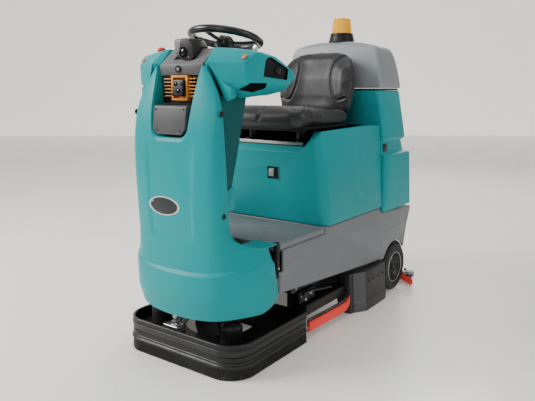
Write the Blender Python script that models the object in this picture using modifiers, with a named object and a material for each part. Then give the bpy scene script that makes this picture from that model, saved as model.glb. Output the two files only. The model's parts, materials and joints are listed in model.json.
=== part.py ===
"""Ride-on floor scrubber with a driver-assist sensor front.

Metres, +Z up. The machine stands on z = 0, its front faces -Y, its left side is +X.
The origin is on the floor, under the middle of the overall box.
"""
import math

import bmesh
import bpy
from mathutils import Matrix, Vector

# ------------------------------------------------------------------ driving dimensions
GAP = 0.0005                # clearance left between neighbouring solids
WHEEL_Y = -0.555            # steered drive wheel, vertical steering axis at x = 0
WHEEL_R = 0.125
WHEEL_W = 0.086
REAR_Y = 0.540              # rear axle
REAR_R = 0.130
REAR_IN = 0.262             # inner and outer face of a rear wheel
REAR_OUT = 0.330
BODY_HX = 0.320             # half width of the lower body
DECK_HX = 0.320             # half width of the scrub deck, the cleaning path
DECK_Y0, DECK_Y1 = -0.842, -0.335
DECK_RIM = 0.142
DECK_LIFT = 0.040
BRUSH_X, BRUSH_Y, BRUSH_R = 0.194, -0.714, 0.110
STEER_C = Vector((0.0, -0.4956, 1.300))     # middle of the steering wheel
STEER_TILT = math.radians(11.8)             # its normal leans back to the driver
STEER_R = 0.1435
SEAM_Z = 1.100              # joint between the recovery tank and its hood
HOOD_HINGE = (0.0, 0.640, 1.100)
SEAT_HINGE = (-0.300, 0.0, 0.926)
SQUEEGEE_LIFT = 0.040

# ------------------------------------------------------------------ scene
for o in list(bpy.data.objects):
    bpy.data.objects.remove(o, do_unlink=True)
for m in list(bpy.data.meshes):
    bpy.data.meshes.remove(m)
for c in list(bpy.data.collections):
    bpy.data.collections.remove(c)
PARTS = bpy.data.collections.new("floor_scrubber")
CUTS = bpy.data.collections.new("cutters")
bpy.context.scene.collection.children.link(PARTS)
bpy.context.scene.collection.children.link(CUTS)


def material(name, rgb, rough, metal=0.0, alpha=1.0):
    m = bpy.data.materials.new(name)
    m.use_nodes = True
    b = m.node_tree.nodes["Principled BSDF"]
    b.inputs["Base Color"].default_value = (*rgb, 1.0)
    b.inputs["Roughness"].default_value = rough
    b.inputs["Metallic"].default_value = metal
    b.inputs["Alpha"].default_value = alpha
    return m


TEAL = material("teal_plastic", (0.024, 0.37, 0.40), 0.38)
TEAL_DARK = material("teal_plastic_inner", (0.010, 0.16, 0.17), 0.45)
GREY = material("grey_plastic", (0.21, 0.225, 0.24), 0.5)
GREY_LIGHT = material("light_grey_plastic", (0.27, 0.29, 0.30), 0.5)
GREY_DARK = material("dark_grey_plastic", (0.07, 0.07, 0.075), 0.5)
BLACK = material("black_plastic", (0.012, 0.012, 0.013), 0.5)
RUBBER = material("black_rubber", (0.012, 0.012, 0.012), 0.7)
VINYL = material("seat_vinyl", (0.07, 0.07, 0.075), 0.55)
STEEL = material("steel", (0.45, 0.46, 0.47), 0.35, 1.0)
FRAME = material("black_painted_steel", (0.015, 0.015, 0.016), 0.45)
ORANGE = material("orange_aluminium", (0.62, 0.26, 0.05), 0.45)
RED = material("red_rubber", (0.85, 0.08, 0.06), 0.5)
YELLOW = material("yellow_lens", (1.0, 0.55, 0.0), 0.25)
BRISTLE = material("black_bristle", (0.03, 0.03, 0.03), 0.8)


# ------------------------------------------------------------------ helpers
def put(name, mesh, mat, smooth=None, cutter=False):
    o = bpy.data.objects.new(name, mesh)
    (CUTS if cutter else PARTS).objects.link(o)
    if mat:
        mesh.materials.append(mat)
    if smooth is not None:
        mesh.shade_smooth()
        mesh.set_sharp_from_angle(angle=math.radians(smooth))
    if cutter:
        o.hide_render = True
        o.display_type = "WIRE"
    return o


def from_bm(name, bm, mat, smooth=None, cutter=False, origin=None):
    me = bpy.data.meshes.new(name)
    if origin is not None:
        bmesh.ops.translate(bm, verts=bm.verts, vec=-Vector(origin))
    bm.to_mesh(me)
    bm.free()
    o = put(name, me, mat, smooth, cutter)
    if origin is not None:
        o.location = origin
    return o


def bm_box(x0, x1, y0, y1, z0, z1):
    bm = bmesh.new()
    bmesh.ops.create_cube(bm, size=1.0, matrix=Matrix.Translation(((x0 + x1) / 2, (y0 + y1) / 2, (z0 + z1) / 2))
                          @ Matrix.Diagonal((x1 - x0, y1 - y0, z1 - z0, 1.0)))
    return bm


def box(name, x0, x1, y0, y1, z0, z1, mat, bevel=0.0, segs=1, cutter=False, origin=None):
    o = from_bm(name, bm_box(x0, x1, y0, y1, z0, z1), mat, cutter=cutter, origin=origin)
    if bevel:
        bevel_mod(o, bevel, segs)
    return o


def bevel_mod(o, width, segs=1, angle=35):
    b = o.modifiers.new("edges", "BEVEL")
    b.width = width
    b.segments = segs
    b.limit_method = "ANGLE"
    b.angle_limit = math.radians(angle)
    return b


def cyl(name, r, p0, p1, mat, segs=24, r2=None, cutter=False, bevel=0.0, origin=None):
    a, b = Vector(p0), Vector(p1)
    d = b - a
    bm = bmesh.new()
    rot = Vector((0, 0, 1)).rotation_difference(d.normalized()).to_matrix().to_4x4()
    bmesh.ops.create_cone(bm, cap_ends=True, segments=segs, radius1=r, radius2=r if r2 is None else r2,
                          depth=d.length, matrix=Matrix.Translation((a + b) / 2) @ rot)
    o = from_bm(name, bm, mat, smooth=40, cutter=cutter, origin=origin)
    if bevel:
        bevel_mod(o, bevel, 1, 50)
    return o


def boolean(o, other, op):
    m = o.modifiers.new(op.lower(), "BOOLEAN")
    m.operation = op
    m.solver = "EXACT"
    m.object = other
    return m


def cut(o, other):
    boolean(o, other, "DIFFERENCE")


def add(o, other):
    other.hide_render = True
    other.display_type = "WIRE"
    if other.name in PARTS.objects:
        PARTS.objects.unlink(other)
        CUTS.objects.link(other)
    boolean(o, other, "UNION")


def mirror_bm(bm):
    """Adds the +X half's reflection to a half that is open at x = 0."""
    geom = bm.verts[:] + bm.edges[:] + bm.faces[:]
    bmesh.ops.mirror(bm, geom=geom, axis="X", merge_dist=0.00005)


def loft_rings(rings, mat, name, smooth=None, caps=True, cutter=False, origin=None, closed_u=True):
    """Skins a stack of rings, each a list of 3-D points counted the same way round."""
    bm = bmesh.new()
    rows = [[bm.verts.new(p) for p in ring] for ring in rings]
    n = len(rows[0])
    for a, b in zip(rows, rows[1:]):
        for i in range(n if closed_u else n - 1):
            j = (i + 1) % n
            bm.faces.new((a[i], a[j], b[j], b[i]))
    if caps:
        bm.faces.new(list(reversed(rows[0])))
        bm.faces.new(rows[-1])
    return from_bm(name, bm, mat, smooth, cutter, origin)


def rounded_rect(x0, x1, y0, y1, radii, n=4):
    """Outline, counter-clockwise from above, with its own radius at each corner:
    (x1,y0), (x1,y1), (x0,y1), (x0,y0)."""
    pts = []
    corners = (((x1, y0), radii[0], -90), ((x1, y1), radii[1], 0), ((x0, y1), radii[2], 90), ((x0, y0), radii[3], 180))
    for (cx, cy), r, a0 in corners:
        sx = -1 if cx == x1 else 1
        sy = -1 if cy == y1 else 1
        ox, oy = cx + sx * r, cy + sy * r
        for k in range(n + 1):
            a = math.radians(a0 + 90.0 * k / n)
            pts.append((ox + r * math.cos(a), oy + r * math.sin(a)))
    return pts


def sweep_ring(name, outline, section, mat, smooth=35):
    """Sweeps a closed (offset outwards, z) section round a closed plan outline."""
    n = len(outline)
    bm = bmesh.new()
    loops = []
    for off, z in section:
        loop = []
        for i, (x, y) in enumerate(outline):
            px, py = outline[i - 1]
            qx, qy = outline[(i + 1) % n]
            tx, ty = qx - px, qy - py
            ln = math.hypot(tx, ty)
            loop.append(bm.verts.new((x + off * ty / ln, y - off * tx / ln, z)))
        loops.append(loop)
    m = len(loops)
    for k in range(m):
        a, b = loops[k], loops[(k + 1) % m]
        for i in range(n):
            j = (i + 1) % n
            bm.faces.new((a[i], a[j], b[j], b[i]))
    bmesh.ops.recalc_face_normals(bm, faces=bm.faces)
    return from_bm(name, bm, mat, smooth)


def turned(name, profile, centre, axis, mat, steps=32, smooth=35):
    """Screw of an (r, h) profile round an axis; the profile runs top to bottom on the outside,
    then back up inside (or closes on the axis at r = 0)."""
    bm = bmesh.new()
    vs = [bm.verts.new((r, 0.0, h)) for r, h in profile]
    closed = profile[0][0] > 0 and profile[-1][0] > 0
    for a, b in zip(vs, vs[1:]):
        bm.edges.new((a, b))
    if closed:
        bm.edges.new((vs[-1], vs[0]))
    me = bpy.data.meshes.new(name)
    bm.to_mesh(me)
    bm.free()
    o = bpy.data.objects.new(name, me)
    PARTS.objects.link(o)
    me.materials.append(mat)
    s = o.modifiers.new("turn", "SCREW")
    s.steps = s.render_steps = steps
    s.use_merge_vertices = True
    s.merge_threshold = 0.00005
    s.use_smooth_shade = False
    o.location = centre
    if axis == "X":
        o.rotation_euler = (0, math.radians(90), 0)
    elif axis == "TILT":
        o.rotation_euler = (-STEER_TILT, 0, 0)
    return o


def to_mesh_object(curve_object, name, mat, smooth=40, cutter=False):
    """A curve turned into a closed mesh, so that it can be cut or joined."""
    bpy.context.view_layer.update()
    dg = bpy.context.evaluated_depsgraph_get()
    me = bpy.data.meshes.new_from_object(curve_object.evaluated_get(dg))
    bm = bmesh.new()
    bm.from_mesh(me)
    bmesh.ops.remove_doubles(bm, verts=bm.verts, dist=0.00002)
    bmesh.ops.recalc_face_normals(bm, faces=bm.faces)
    bm.to_mesh(me)
    bm.free()
    me.materials.clear()
    o = put(name, me, mat, smooth, cutter)
    o.matrix_world = curve_object.matrix_world
    bpy.data.objects.remove(curve_object, do_unlink=True)
    return o


def tube(name, pts, r, mat, res=2, as_mesh=False, cutter=False):
    cu = bpy.data.curves.new(name + "_path", "CURVE")
    cu.dimensions = "3D"
    sp = cu.splines.new("POLY")
    sp.points.add(len(pts) - 1)
    for p, q in zip(sp.points, pts):
        p.co = (*q, 1.0)
    cu.bevel_depth = r
    cu.bevel_resolution = res
    cu.use_fill_caps = True
    o = bpy.data.objects.new(name, cu)
    PARTS.objects.link(o)
    if as_mesh:
        return to_mesh_object(o, name + "_m" if cutter else name, mat, cutter=cutter)
    cu.materials.append(mat)
    return o


def extrude_x(name, poly, x0, x1, mat, cutter=False, origin=None):
    """A (y, z) outline extruded from x0 to x1."""
    bm = bmesh.new()
    a = [bm.verts.new((x0, y, z)) for y, z in poly]
    b = [bm.verts.new((x1, y, z)) for y, z in poly]
    n = len(poly)
    bm.faces.new(a)
    bm.faces.new(list(reversed(b)))
    for i in range(n):
        j = (i + 1) % n
        bm.faces.new((a[i], b[i], b[j], a[j]))
    bmesh.ops.recalc_face_normals(bm, faces=bm.faces)
    return from_bm(name, bm, mat, cutter=cutter, origin=origin)


def extrude_z(name, outline, z0, z1, mat, cutter=False, smooth=None):
    return loft_rings([[(x, y, z0) for x, y in outline], [(x, y, z1) for x, y in outline]],
                      mat, name, smooth=smooth, cutter=cutter)


def half_shell(name, rows, thickness, mat, smooth=35, inward=-1.0):
    """Open surface from rows of half outlines (x >= 0, centre first), mirrored, with Solidify."""
    bm = bmesh.new()
    grid = []
    for row in rows:
        left = [(-x, y, z) for x, y, z in reversed(row[1:])]
        grid.append([bm.verts.new(p) for p in left + list(row)])
    for a, b in zip(grid, grid[1:]):
        for i in range(len(a) - 1):
            bm.faces.new((a[i], a[i + 1], b[i + 1], b[i]))
    o = from_bm(name, bm, mat, smooth)
    s = o.modifiers.new("wall", "SOLIDIFY")
    s.thickness = thickness
    s.offset = inward
    s.use_even_offset = True
    return o


# ------------------------------------------------------------------ lower frame
frame = box("chassis_frame", -0.200, 0.200, -0.400, 0.640, 0.305, 0.345, FRAME)
add(frame, box("gooseneck_plate", -0.110, 0.110, -0.790, -0.385, 0.3460, 0.3700, FRAME))
add(frame, box("gooseneck_web", -0.110, 0.110, -0.399, -0.385, 0.320, 0.360, FRAME))
for s in (-1, 1):
    add(frame, box(f"axle_hanger_{s}", min(s * 0.205, s * 0.235), max(s * 0.205, s * 0.235), REAR_Y - 0.04, REAR_Y + 0.04, 0.105, 0.325, FRAME))
    add(frame, box(f"hanger_top_{s}", min(s * 0.190, s * 0.235), max(s * 0.190, s * 0.235), REAR_Y - 0.04, REAR_Y + 0.04, 0.306, 0.330, FRAME))
add(frame, cyl("axle_rod", 0.0125, (-0.322, REAR_Y, REAR_R), (0.322, REAR_Y, REAR_R), STEEL, 20))
add(frame, box("column_post", -0.030, 0.030, -0.786, -0.754, 0.3600, 0.9150, FRAME))
cut(frame, cyl("steer_bore", 0.0255, (0, WHEEL_Y, 0.30), (0, WHEEL_Y, 0.40), None, 24, cutter=True))

# moulded lower body: side walls, rear wall and top, open underneath
side = [(-0.560, 0.286), (0.385, 0.204), (0.385, 0.352), (0.700, 0.352), (0.712, 0.356), (0.7480, 0.4440),
        (0.362, 0.4640), (0.345, 0.4930), (-0.2035, 0.4930), (-0.2035, 0.4655), (-0.560, 0.4655)]
shell = extrude_x("chassis_shell", side, -BODY_HX, BODY_HX, GREY)
bevel_mod(shell, 0.006, 1, 50)
inner = [(-0.575, 0.20), (0.377, 0.12), (0.377, 0.361), (0.703, 0.361), (0.7350, 0.4350), (0.360, 0.4555),
         (0.342, 0.4830), (-0.195, 0.4830), (-0.195, 0.4555), (-0.575, 0.4555)]
cut(shell, extrude_x("chassis_shell_hollow", inner, -BODY_HX + 0.009, BODY_HX - 0.009, None, cutter=True))
cut(shell, box("frame_slot", -0.245, 0.245, 0.365, 0.400, 0.10, 0.3500, None, cutter=True))
cut(shell, box("battery_well", -0.235, 0.235, -0.150, 0.320, 0.44, 0.52, None, cutter=True))
# rear panels behind the wheels, each side, and the wheel arch cut in them
for s, tag in ((1, "left"), (-1, "right")):
    panel = extrude_x(f"rear_panel_{tag}", [(0.370, 0.205), (0.663, 0.220), (0.702, 0.357), (0.370, 0.357)],
                      min(s * 0.311, s * 0.320), max(s * 0.311, s * 0.320), GREY)
    cut(panel, cyl(f"arch_{tag}", 0.150, (s * 0.30, REAR_Y, REAR_R), (s * 0.34, REAR_Y, REAR_R), None, 40, cutter=True))
    add(shell, panel)
# pocket for the draw latch at the front left corner
cut(shell, box("latch_pocket", 0.298, 0.335, -0.60, -0.536, 0.375, 0.50, None, cutter=True))

# foot platform, a lid hinged at its rear edge
plat = box("foot_platform", -0.318, 0.318, -0.576, -0.211, 0.4662, 0.4915, GREY, bevel=0.004, segs=1,
           origin=(0, -0.208, 0.4915))
cut(plat, box("latch_notch", 0.296, 0.340, -0.60, -0.5540, 0.44, 0.52, None, cutter=True))

# battery block and vacuum fan
battery = box("battery_pack", -0.215, 0.215, -0.135, 0.300, 0.3455, 0.745, BLACK, bevel=0.008)
for i, (tx, ty) in enumerate(((-0.15, -0.08), (0.15, -0.08), (-0.15, 0.24), (0.15, 0.24))):
    add(battery, cyl(f"terminal_{i}", 0.010, (tx, ty, 0.74), (tx, ty, 0.765), STEEL, 12))
fan = turned("vacuum_fan", [(0.0, 0.075), (0.030, 0.075), (0.034, 0.045), (0.070, 0.040), (0.072, -0.040), (0.0, -0.040)],
             (0.0, 0.480, 0.905), "Z", BLACK, 24)

# ------------------------------------------------------------------ solution tank, the box under the seat


def tank_ring(z, y0, y1, hx, rf, rr, n=4):
    return [(x, y, z) for x, y in rounded_rect(-hx, hx, y0, y1, (rf, rr, rr, rf), n)]


tank = loft_rings([
    tank_ring(0.4940, -0.2000, 0.355, 0.3200, 0.050, 0.006),
    tank_ring(0.5020, -0.2060, 0.360, 0.3230, 0.052, 0.006),
    tank_ring(0.700, -0.2180, 0.360, 0.3120, 0.052, 0.006),
    tank_ring(0.915, -0.2350, 0.360, 0.2950, 0.052, 0.006)], TEAL, "solution_tank", smooth=30)
cut(tank, extrude_x("seat_bay", [(-0.2010, 0.8215), (0.346, 0.8215), (0.346, 1.0), (-0.2010, 1.0)], -0.2240, 0.2240, None, cutter=True))
cut(tank, extrude_x("front_lip", [(-0.30, 0.8160), (-0.2290, 0.8160), (-0.2050, 0.8440), (-0.2000, 0.8440), (-0.2000, 1.0), (-0.30, 1.0)],
                    -0.2120, 0.2120, None, cutter=True))
# slanted end of each side wall, from the lip up to the wall's top
for s, tag in ((1, "left"), (-1, "right")):
    nose = [Vector((s * x, y, z)) for x, y, z in ((0.2050, -0.2300, 0.8300), (0.2180, -0.1500, 0.9160), (0.2970, -0.2050, 0.9160))]
    out = (nose[1] - nose[0]).cross(nose[2] - nose[0]).normalized() * s
    if out.z < 0:
        out = -out
    mid = (nose[0] + nose[1] + nose[2]) / 3
    side_a = (nose[2] - nose[1]).normalized()
    side_b = out.cross(side_a)
    wedge = bmesh.new()
    frame_m = Matrix((side_a, side_b, out)).transposed().to_4x4()
    bmesh.ops.create_cube(wedge, size=1.0, matrix=Matrix.Translation(mid + out * 0.10) @ frame_m @ Matrix.Diagonal((0.30, 0.30, 0.20, 1.0)))
    cut_box = from_bm(f"nose_cutter_{tag}", wedge, None, cutter=True)
    lim = box(f"nose_limit_{tag}", min(s * 0.2045, s * 0.34), max(s * 0.2045, s * 0.34), -0.30, -0.140, 0.80, 1.00, None, cutter=True)
    boolean(cut_box, lim, "INTERSECT")
    cut(tank, cut_box)
cut(tank, box("battery_bay", -0.236, 0.236, -0.150, 0.320, 0.48, 0.84, None, cutter=True))
cut(tank, box("tank_latch_pocket", 0.012, 0.074, -0.30, -0.205, 0.690, 0.745, None, cutter=True))

# ------------------------------------------------------------------ recovery tank at the rear
rec = loft_rings([
    tank_ring(0.4660, 0.3650, 0.7430, 0.3310, 0.020, 0.050),
    tank_ring(0.7560, 0.3650, 0.7000, 0.3340, 0.020, 0.050),
    tank_ring(0.7680, 0.3650, 0.6440, 0.3130, 0.020, 0.040),
    tank_ring(0.8260, 0.3650, 0.6300, 0.3070, 0.020, 0.040),
    tank_ring(0.8420, 0.3650, 0.6620, 0.3190, 0.020, 0.050),
    tank_ring(0.9150, 0.3650, 0.6500, 0.3120, 0.020, 0.050),
    tank_ring(1.0870, 0.3600, 0.6320, 0.2870, 0.030, 0.050)], TEAL, "recovery_tank", smooth=30)
cut(rec, box("rear_slope", -0.5, 0.5, 0.30, 0.90, 0.44, 0.4661, None, cutter=True))
cut(rec, box("tank_cavity", -0.240, 0.240, 0.400, 0.590, 0.600, 1.20, None, cutter=True))
add(rec, box("fan_shelf", -0.245, 0.245, 0.395, 0.595, 0.8400, 0.8560, TEAL))
cut(rec, box("fan_shelf_opening", -0.205, -0.105, 0.430, 0.560, 0.80, 0.90, None, cutter=True))

gasket = sweep_ring("hood_gasket", rounded_rect(-0.283, 0.283, 0.362, 0.628, (0.03, 0.05, 0.05, 0.03), 4),
                    [(0.0, 1.0980), (0.0, 1.0880), (-0.024, 1.0880), (-0.024, 1.0980)], RUBBER)

elbow_pts = [(0.0, 0.790, 0.500), (0.0, 0.790, 0.540), (0.0, 0.786, 0.565), (0.0, 0.774, 0.585), (0.0, 0.756, 0.596), (0.0, 0.7310, 0.600)]
elbow = tube("hose_elbow", elbow_pts, 0.025, BLACK, res=2)

# ------------------------------------------------------------------ hood and beacon


def hood_ring(z, yc, ys, y1, hx, r):
    """One level of the hood: its front bows forward from ys at the corners to yc in the middle."""
    pts = rounded_rect(-hx, hx, ys, y1, (r, r * 1.6, r * 1.6, r), 3)
    front = [(x, ys + (yc - ys) * (1 - (x / (hx - r)) ** 2)) for x in [(hx - r) * k / 3 for k in (-2, -1, 0, 1, 2)]]
    return [(x, y, z) for x, y in pts + front]


bm = bmesh.new()
hood_rows = [hood_ring(1.1000, 0.3600, 0.3800, 0.6320, 0.2860, 0.020), hood_ring(1.1900, 0.3640, 0.3800, 0.6200, 0.2720, 0.020),
             hood_ring(1.2550, 0.3700, 0.3810, 0.6000, 0.2610, 0.022), hood_ring(1.2850, 0.3750, 0.3830, 0.5780, 0.2540, 0.026),
             hood_ring(1.3080, 0.3800, 0.3870, 0.5520, 0.2420, 0.034), hood_ring(1.3270, 0.3860, 0.3930, 0.5300, 0.2000, 0.040),
             hood_ring(1.3390, 0.3930, 0.3990, 0.5150, 0.1250, 0.040)]
grid = [[bm.verts.new(p) for p in r] for r in hood_rows]
for a, b in zip(grid, grid[1:]):
    for i in range(len(a)):
        j = (i + 1) % len(a)
        bm.faces.new((a[i], a[j], b[j], b[i]))
bm.faces.new(grid[-1])
hood = from_bm("tank_hood", bm, GREY_LIGHT, 30, origin=HOOD_HINGE)
s = hood.modifiers.new("wall", "SOLIDIFY")
s.thickness = 0.004
s.offset = -1.0
s.use_even_offset = True
turned("beacon_base", [(0.0, 0.045), (0.058, 0.045), (0.060, 0.040), (0.069, 0.006), (0.069, 0.0), (0.0, 0.0)],
       (0.012, 0.452, 1.3398), "Z", BLACK, 28)
turned("beacon_lens", [(0.0, 0.0785), (0.040, 0.0785), (0.049, 0.072), (0.0550, 0.0), (0.0, 0.0)],
       (0.012, 0.452, 1.3853), "Z", YELLOW, 28)

# ------------------------------------------------------------------ front shroud
rows = [
    [(0, -0.838, 0.210), (0.110, -0.830, 0.213), (0.195, -0.810, 0.219), (0.245, -0.773, 0.226), (0.280, -0.733, 0.232),
     (0.305, -0.698, 0.235), (0.320, -0.672, 0.238), (0.329, -0.637, 0.252), (0.330, -0.600, 0.270)],
    [(0, -0.860, 0.297), (0.110, -0.853, 0.297), (0.200, -0.832, 0.297), (0.252, -0.790, 0.296), (0.292, -0.742, 0.292),
     (0.320, -0.700, 0.286), (0.333, -0.662, 0.281), (0.337, -0.630, 0.284), (0.336, -0.594, 0.298)],
    [(0, -0.859, 0.392), (0.110, -0.853, 0.393), (0.200, -0.833, 0.400), (0.252, -0.793, 0.409), (0.290, -0.750, 0.419),
     (0.317, -0.712, 0.426), (0.331, -0.680, 0.430), (0.337, -0.652, 0.432), (0.337, -0.622, 0.432)],
    [(0, -0.845, 0.408), (0.110, -0.840, 0.409), (0.200, -0.822, 0.416), (0.245, -0.786, 0.425), (0.281, -0.745, 0.434),
     (0.308, -0.707, 0.441), (0.324, -0.675, 0.446), (0.331, -0.655, 0.448), (0.331, -0.630, 0.448)],
    [(0, -0.842, 0.500), (0.110, -0.838, 0.500), (0.190, -0.822, 0.500), (0.225, -0.797, 0.502), (0.262, -0.757, 0.504),
     (0.293, -0.718, 0.504), (0.311, -0.688, 0.503), (0.320, -0.668, 0.502), (0.321, -0.645, 0.502)],
    [(0, -0.845, 0.556), (0.110, -0.840, 0.556), (0.180, -0.826, 0.556), (0.205, -0.814, 0.556), (0.217, -0.803, 0.554),
     (0.221, -0.793, 0.548), (0.222, -0.782, 0.534), (0.222, -0.768, 0.520), (0.222, -0.755, 0.510)],
    [(0, -0.853, 0.640), (0.100, -0.848, 0.640), (0.180, -0.832, 0.640), (0.206, -0.819, 0.640), (0.218, -0.807, 0.640),
     (0.222, -0.796, 0.640), (0.222, -0.784, 0.640), (0.222, -0.771, 0.640), (0.222, -0.757, 0.640)],
    [(0, -0.852, 0.800), (0.100, -0.848, 0.800), (0.180, -0.836, 0.800), (0.207, -0.825, 0.800), (0.219, -0.812, 0.800),
     (0.223, -0.800, 0.800), (0.223, -0.790, 0.800), (0.222, -0.779, 0.800), (0.221, -0.766, 0.800)],
    [(0, -0.842, 0.950), (0.100, -0.840, 0.950), (0.178, -0.833, 0.950), (0.205, -0.824, 0.950), (0.217, -0.812, 0.950),
     (0.221, -0.802, 0.950), (0.221, -0.793, 0.950), (0.220, -0.784, 0.950), (0.219, -0.774, 0.950)],
    [(0, -0.822, 1.050), (0.090, -0.820, 1.050), (0.160, -0.812, 1.050), (0.190, -0.803, 1.050), (0.206, -0.793, 1.050),
     (0.212, -0.786, 1.050), (0.212, -0.782, 1.050), (0.212, -0.778, 1.050), (0.211, -0.773, 1.050)],
    [(0, -0.803, 1.110), (0.080, -0.801, 1.110), (0.130, -0.796, 1.110), (0.155, -0.790, 1.110), (0.170, -0.781, 1.110),
     (0.176, -0.776, 1.110), (0.178, -0.773, 1.110), (0.178, -0.771, 1.110), (0.178, -0.769, 1.110)],
    [(0, -0.780, 1.180), (0.060, -0.779, 1.180), (0.100, -0.777, 1.180), (0.116, -0.775, 1.180), (0.125, -0.771, 1.180),
     (0.130, -0.768, 1.180), (0.132, -0.766, 1.180), (0.133, -0.764, 1.180), (0.133, -0.762, 1.180)],
]
shroud = half_shell("front_shroud", rows, 0.005, TEAL, 32)
bay = []
for z, hx in ((0.918, 0.055), (0.928, 0.076), (0.948, 0.090), (1.040, 0.100), (1.110, 0.104), (1.300, 0.110)):
    bay.append((hx, z))
outline = [(x, z) for x, z in bay] + [(-x, z) for x, z in reversed(bay)]
bm = bmesh.new()
fa = [bm.verts.new((x, -0.90, z)) for x, z in outline]
fb = [bm.verts.new((x, -0.76, z)) for x, z in outline]
bm.faces.new(fa)
bm.faces.new(list(reversed(fb)))
for i in range(len(fa)):
    j = (i + 1) % len(fa)
    bm.faces.new((fa[i], fb[i], fb[j], fa[j]))
bmesh.ops.recalc_face_normals(bm, faces=bm.faces)
cut(shroud, from_bm("bay_cutter", bm, None, cutter=True))

# inner cover that closes the column behind the shroud
rows = []
for z, yr, hx in ((0.4980, -0.7480, 0.2080), (0.560, -0.7420, 0.2080), (0.701, -0.7130, 0.2080), (0.868, -0.6710, 0.2060),
                  (1.040, -0.6240, 0.2000)):
    yf = {0.4980: -0.7600, 0.560: -0.7600}.get(z, -0.7600)
    rows.append([(0, yr, z), (hx - 0.030, yr, z), (hx - 0.010, yr - 0.004 if yr < -0.735 else yr - 0.006, z),
                 (hx, yr - 0.008 if yr < -0.735 else yr - 0.022, z), (hx, yf, z)])
cover = half_shell("column_cover", rows, 0.004, TEAL_DARK, 35, inward=1.0)

# ------------------------------------------------------------------ console with the two side wings
sections = [
    (0.000, [(-0.738, 1.075), (-0.752, 1.180), (-0.688, 1.238), (-0.600, 1.240), (-0.500, 1.200), (-0.480, 1.120), (-0.520, 1.075), (-0.620, 1.060)]),
    (0.112, [(-0.738, 1.075), (-0.752, 1.180), (-0.688, 1.238), (-0.600, 1.240), (-0.500, 1.200), (-0.480, 1.120), (-0.520, 1.075), (-0.620, 1.060)]),
    (0.116, [(-0.738, 1.100), (-0.756, 1.190), (-0.700, 1.250), (-0.600, 1.252), (-0.500, 1.208), (-0.478, 1.125), (-0.520, 1.072), (-0.640, 1.058)]),
    (0.142, [(-0.745, 1.185), (-0.775, 1.193), (-0.706, 1.248), (-0.600, 1.250), (-0.500, 1.206), (-0.476, 1.127), (-0.520, 1.070), (-0.650, 1.058)]),
    (0.190, [(-0.748, 1.112), (-0.752, 1.190), (-0.697, 1.242), (-0.600, 1.244), (-0.500, 1.200), (-0.475, 1.128), (-0.520, 1.070), (-0.655, 1.060)]),
    (0.230, [(-0.730, 1.100), (-0.735, 1.190), (-0.688, 1.237), (-0.600, 1.238), (-0.500, 1.195), (-0.475, 1.129), (-0.520, 1.073), (-0.660, 1.068)]),
    (0.290, [(-0.707, 1.122), (-0.712, 1.190), (-0.674, 1.229), (-0.600, 1.227), (-0.503, 1.187), (-0.475, 1.132), (-0.520, 1.085), (-0.665, 1.095)]),
    (0.325, [(-0.695, 1.137), (-0.699, 1.190), (-0.664, 1.220), (-0.600, 1.212), (-0.510, 1.174), (-0.484, 1.138), (-0.520, 1.104), (-0.660, 1.120)]),
    (0.347, [(-0.683, 1.152), (-0.686, 1.188), (-0.656, 1.206), (-0.600, 1.198), (-0.520, 1.163), (-0.500, 1.142), (-0.528, 1.122), (-0.650, 1.140)]),
]
bm = bmesh.new()
full = [(-x, p) for x, p in reversed(sections[1:])] + sections
rings = [[bm.verts.new((x, y, z)) for y, z in p] for x, p in full]
for a, b in zip(rings, rings[1:]):
    for i in range(8):
        j = (i + 1) % 8
        bm.faces.new((a[i], b[i], b[j], a[j]))
bm.faces.new(rings[0])
bm.faces.new(list(reversed(rings[-1])))
bmesh.ops.recalc_face_normals(bm, faces=bm.faces)
console = from_bm("console_housing", bm, TEAL, 25)
WIN = [(-0.645, 1.150), (-0.600, 1.186), (-0.535, 1.160), (-0.520, 1.146), (-0.535, 1.130), (-0.600, 1.136)]
for s, tag in ((1, "left"), (-1, "right")):
    cut(console, extrude_x(f"window_{tag}", WIN, min(s * 0.300, s * 0.36), max(s * 0.300, s * 0.36), None, cutter=True))
cut(console, cyl("column_bore", 0.0330, STEER_C - Vector((0, math.sin(STEER_TILT), math.cos(STEER_TILT))) * 0.205, STEER_C, None, 24, cutter=True))
cut(console, box("turret_seat", -0.055, 0.055, -0.80, -0.652, 1.195, 1.30, None, cutter=True))
cut(console, cyl("estop_bore", 0.0125, (-0.225, -0.640, 1.205), (-0.225, -0.640, 1.28), None, 16, cutter=True))
cut(console, cyl("key_bore", 0.0075, (0.200, -0.560, 1.195), (0.200, -0.560, 1.28), None, 16, cutter=True))

dash = extrude_x("dash_panel", [(-0.7575, 1.1815), (-0.7560, 1.1480), (-0.7495, 1.1480), (-0.7495, 1.1500)], -0.100, 0.100, GREY)
bpy.data.objects.remove(dash, do_unlink=True)
dash = extrude_x("dash_panel", [(-0.7640, 1.1500), (-0.7560, 1.1500), (-0.7560, 1.1810), (-0.6905, 1.2400), (-0.6560, 1.2406),
                                (-0.6560, 1.2465), (-0.6930, 1.2460), (-0.7640, 1.1840)], -0.1075, 0.1075, GREY_LIGHT)
cut(dash, box("turret_gap", -0.0555, 0.0555, -0.740, -0.60, 1.1955, 1.30, None, cutter=True))

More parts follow.
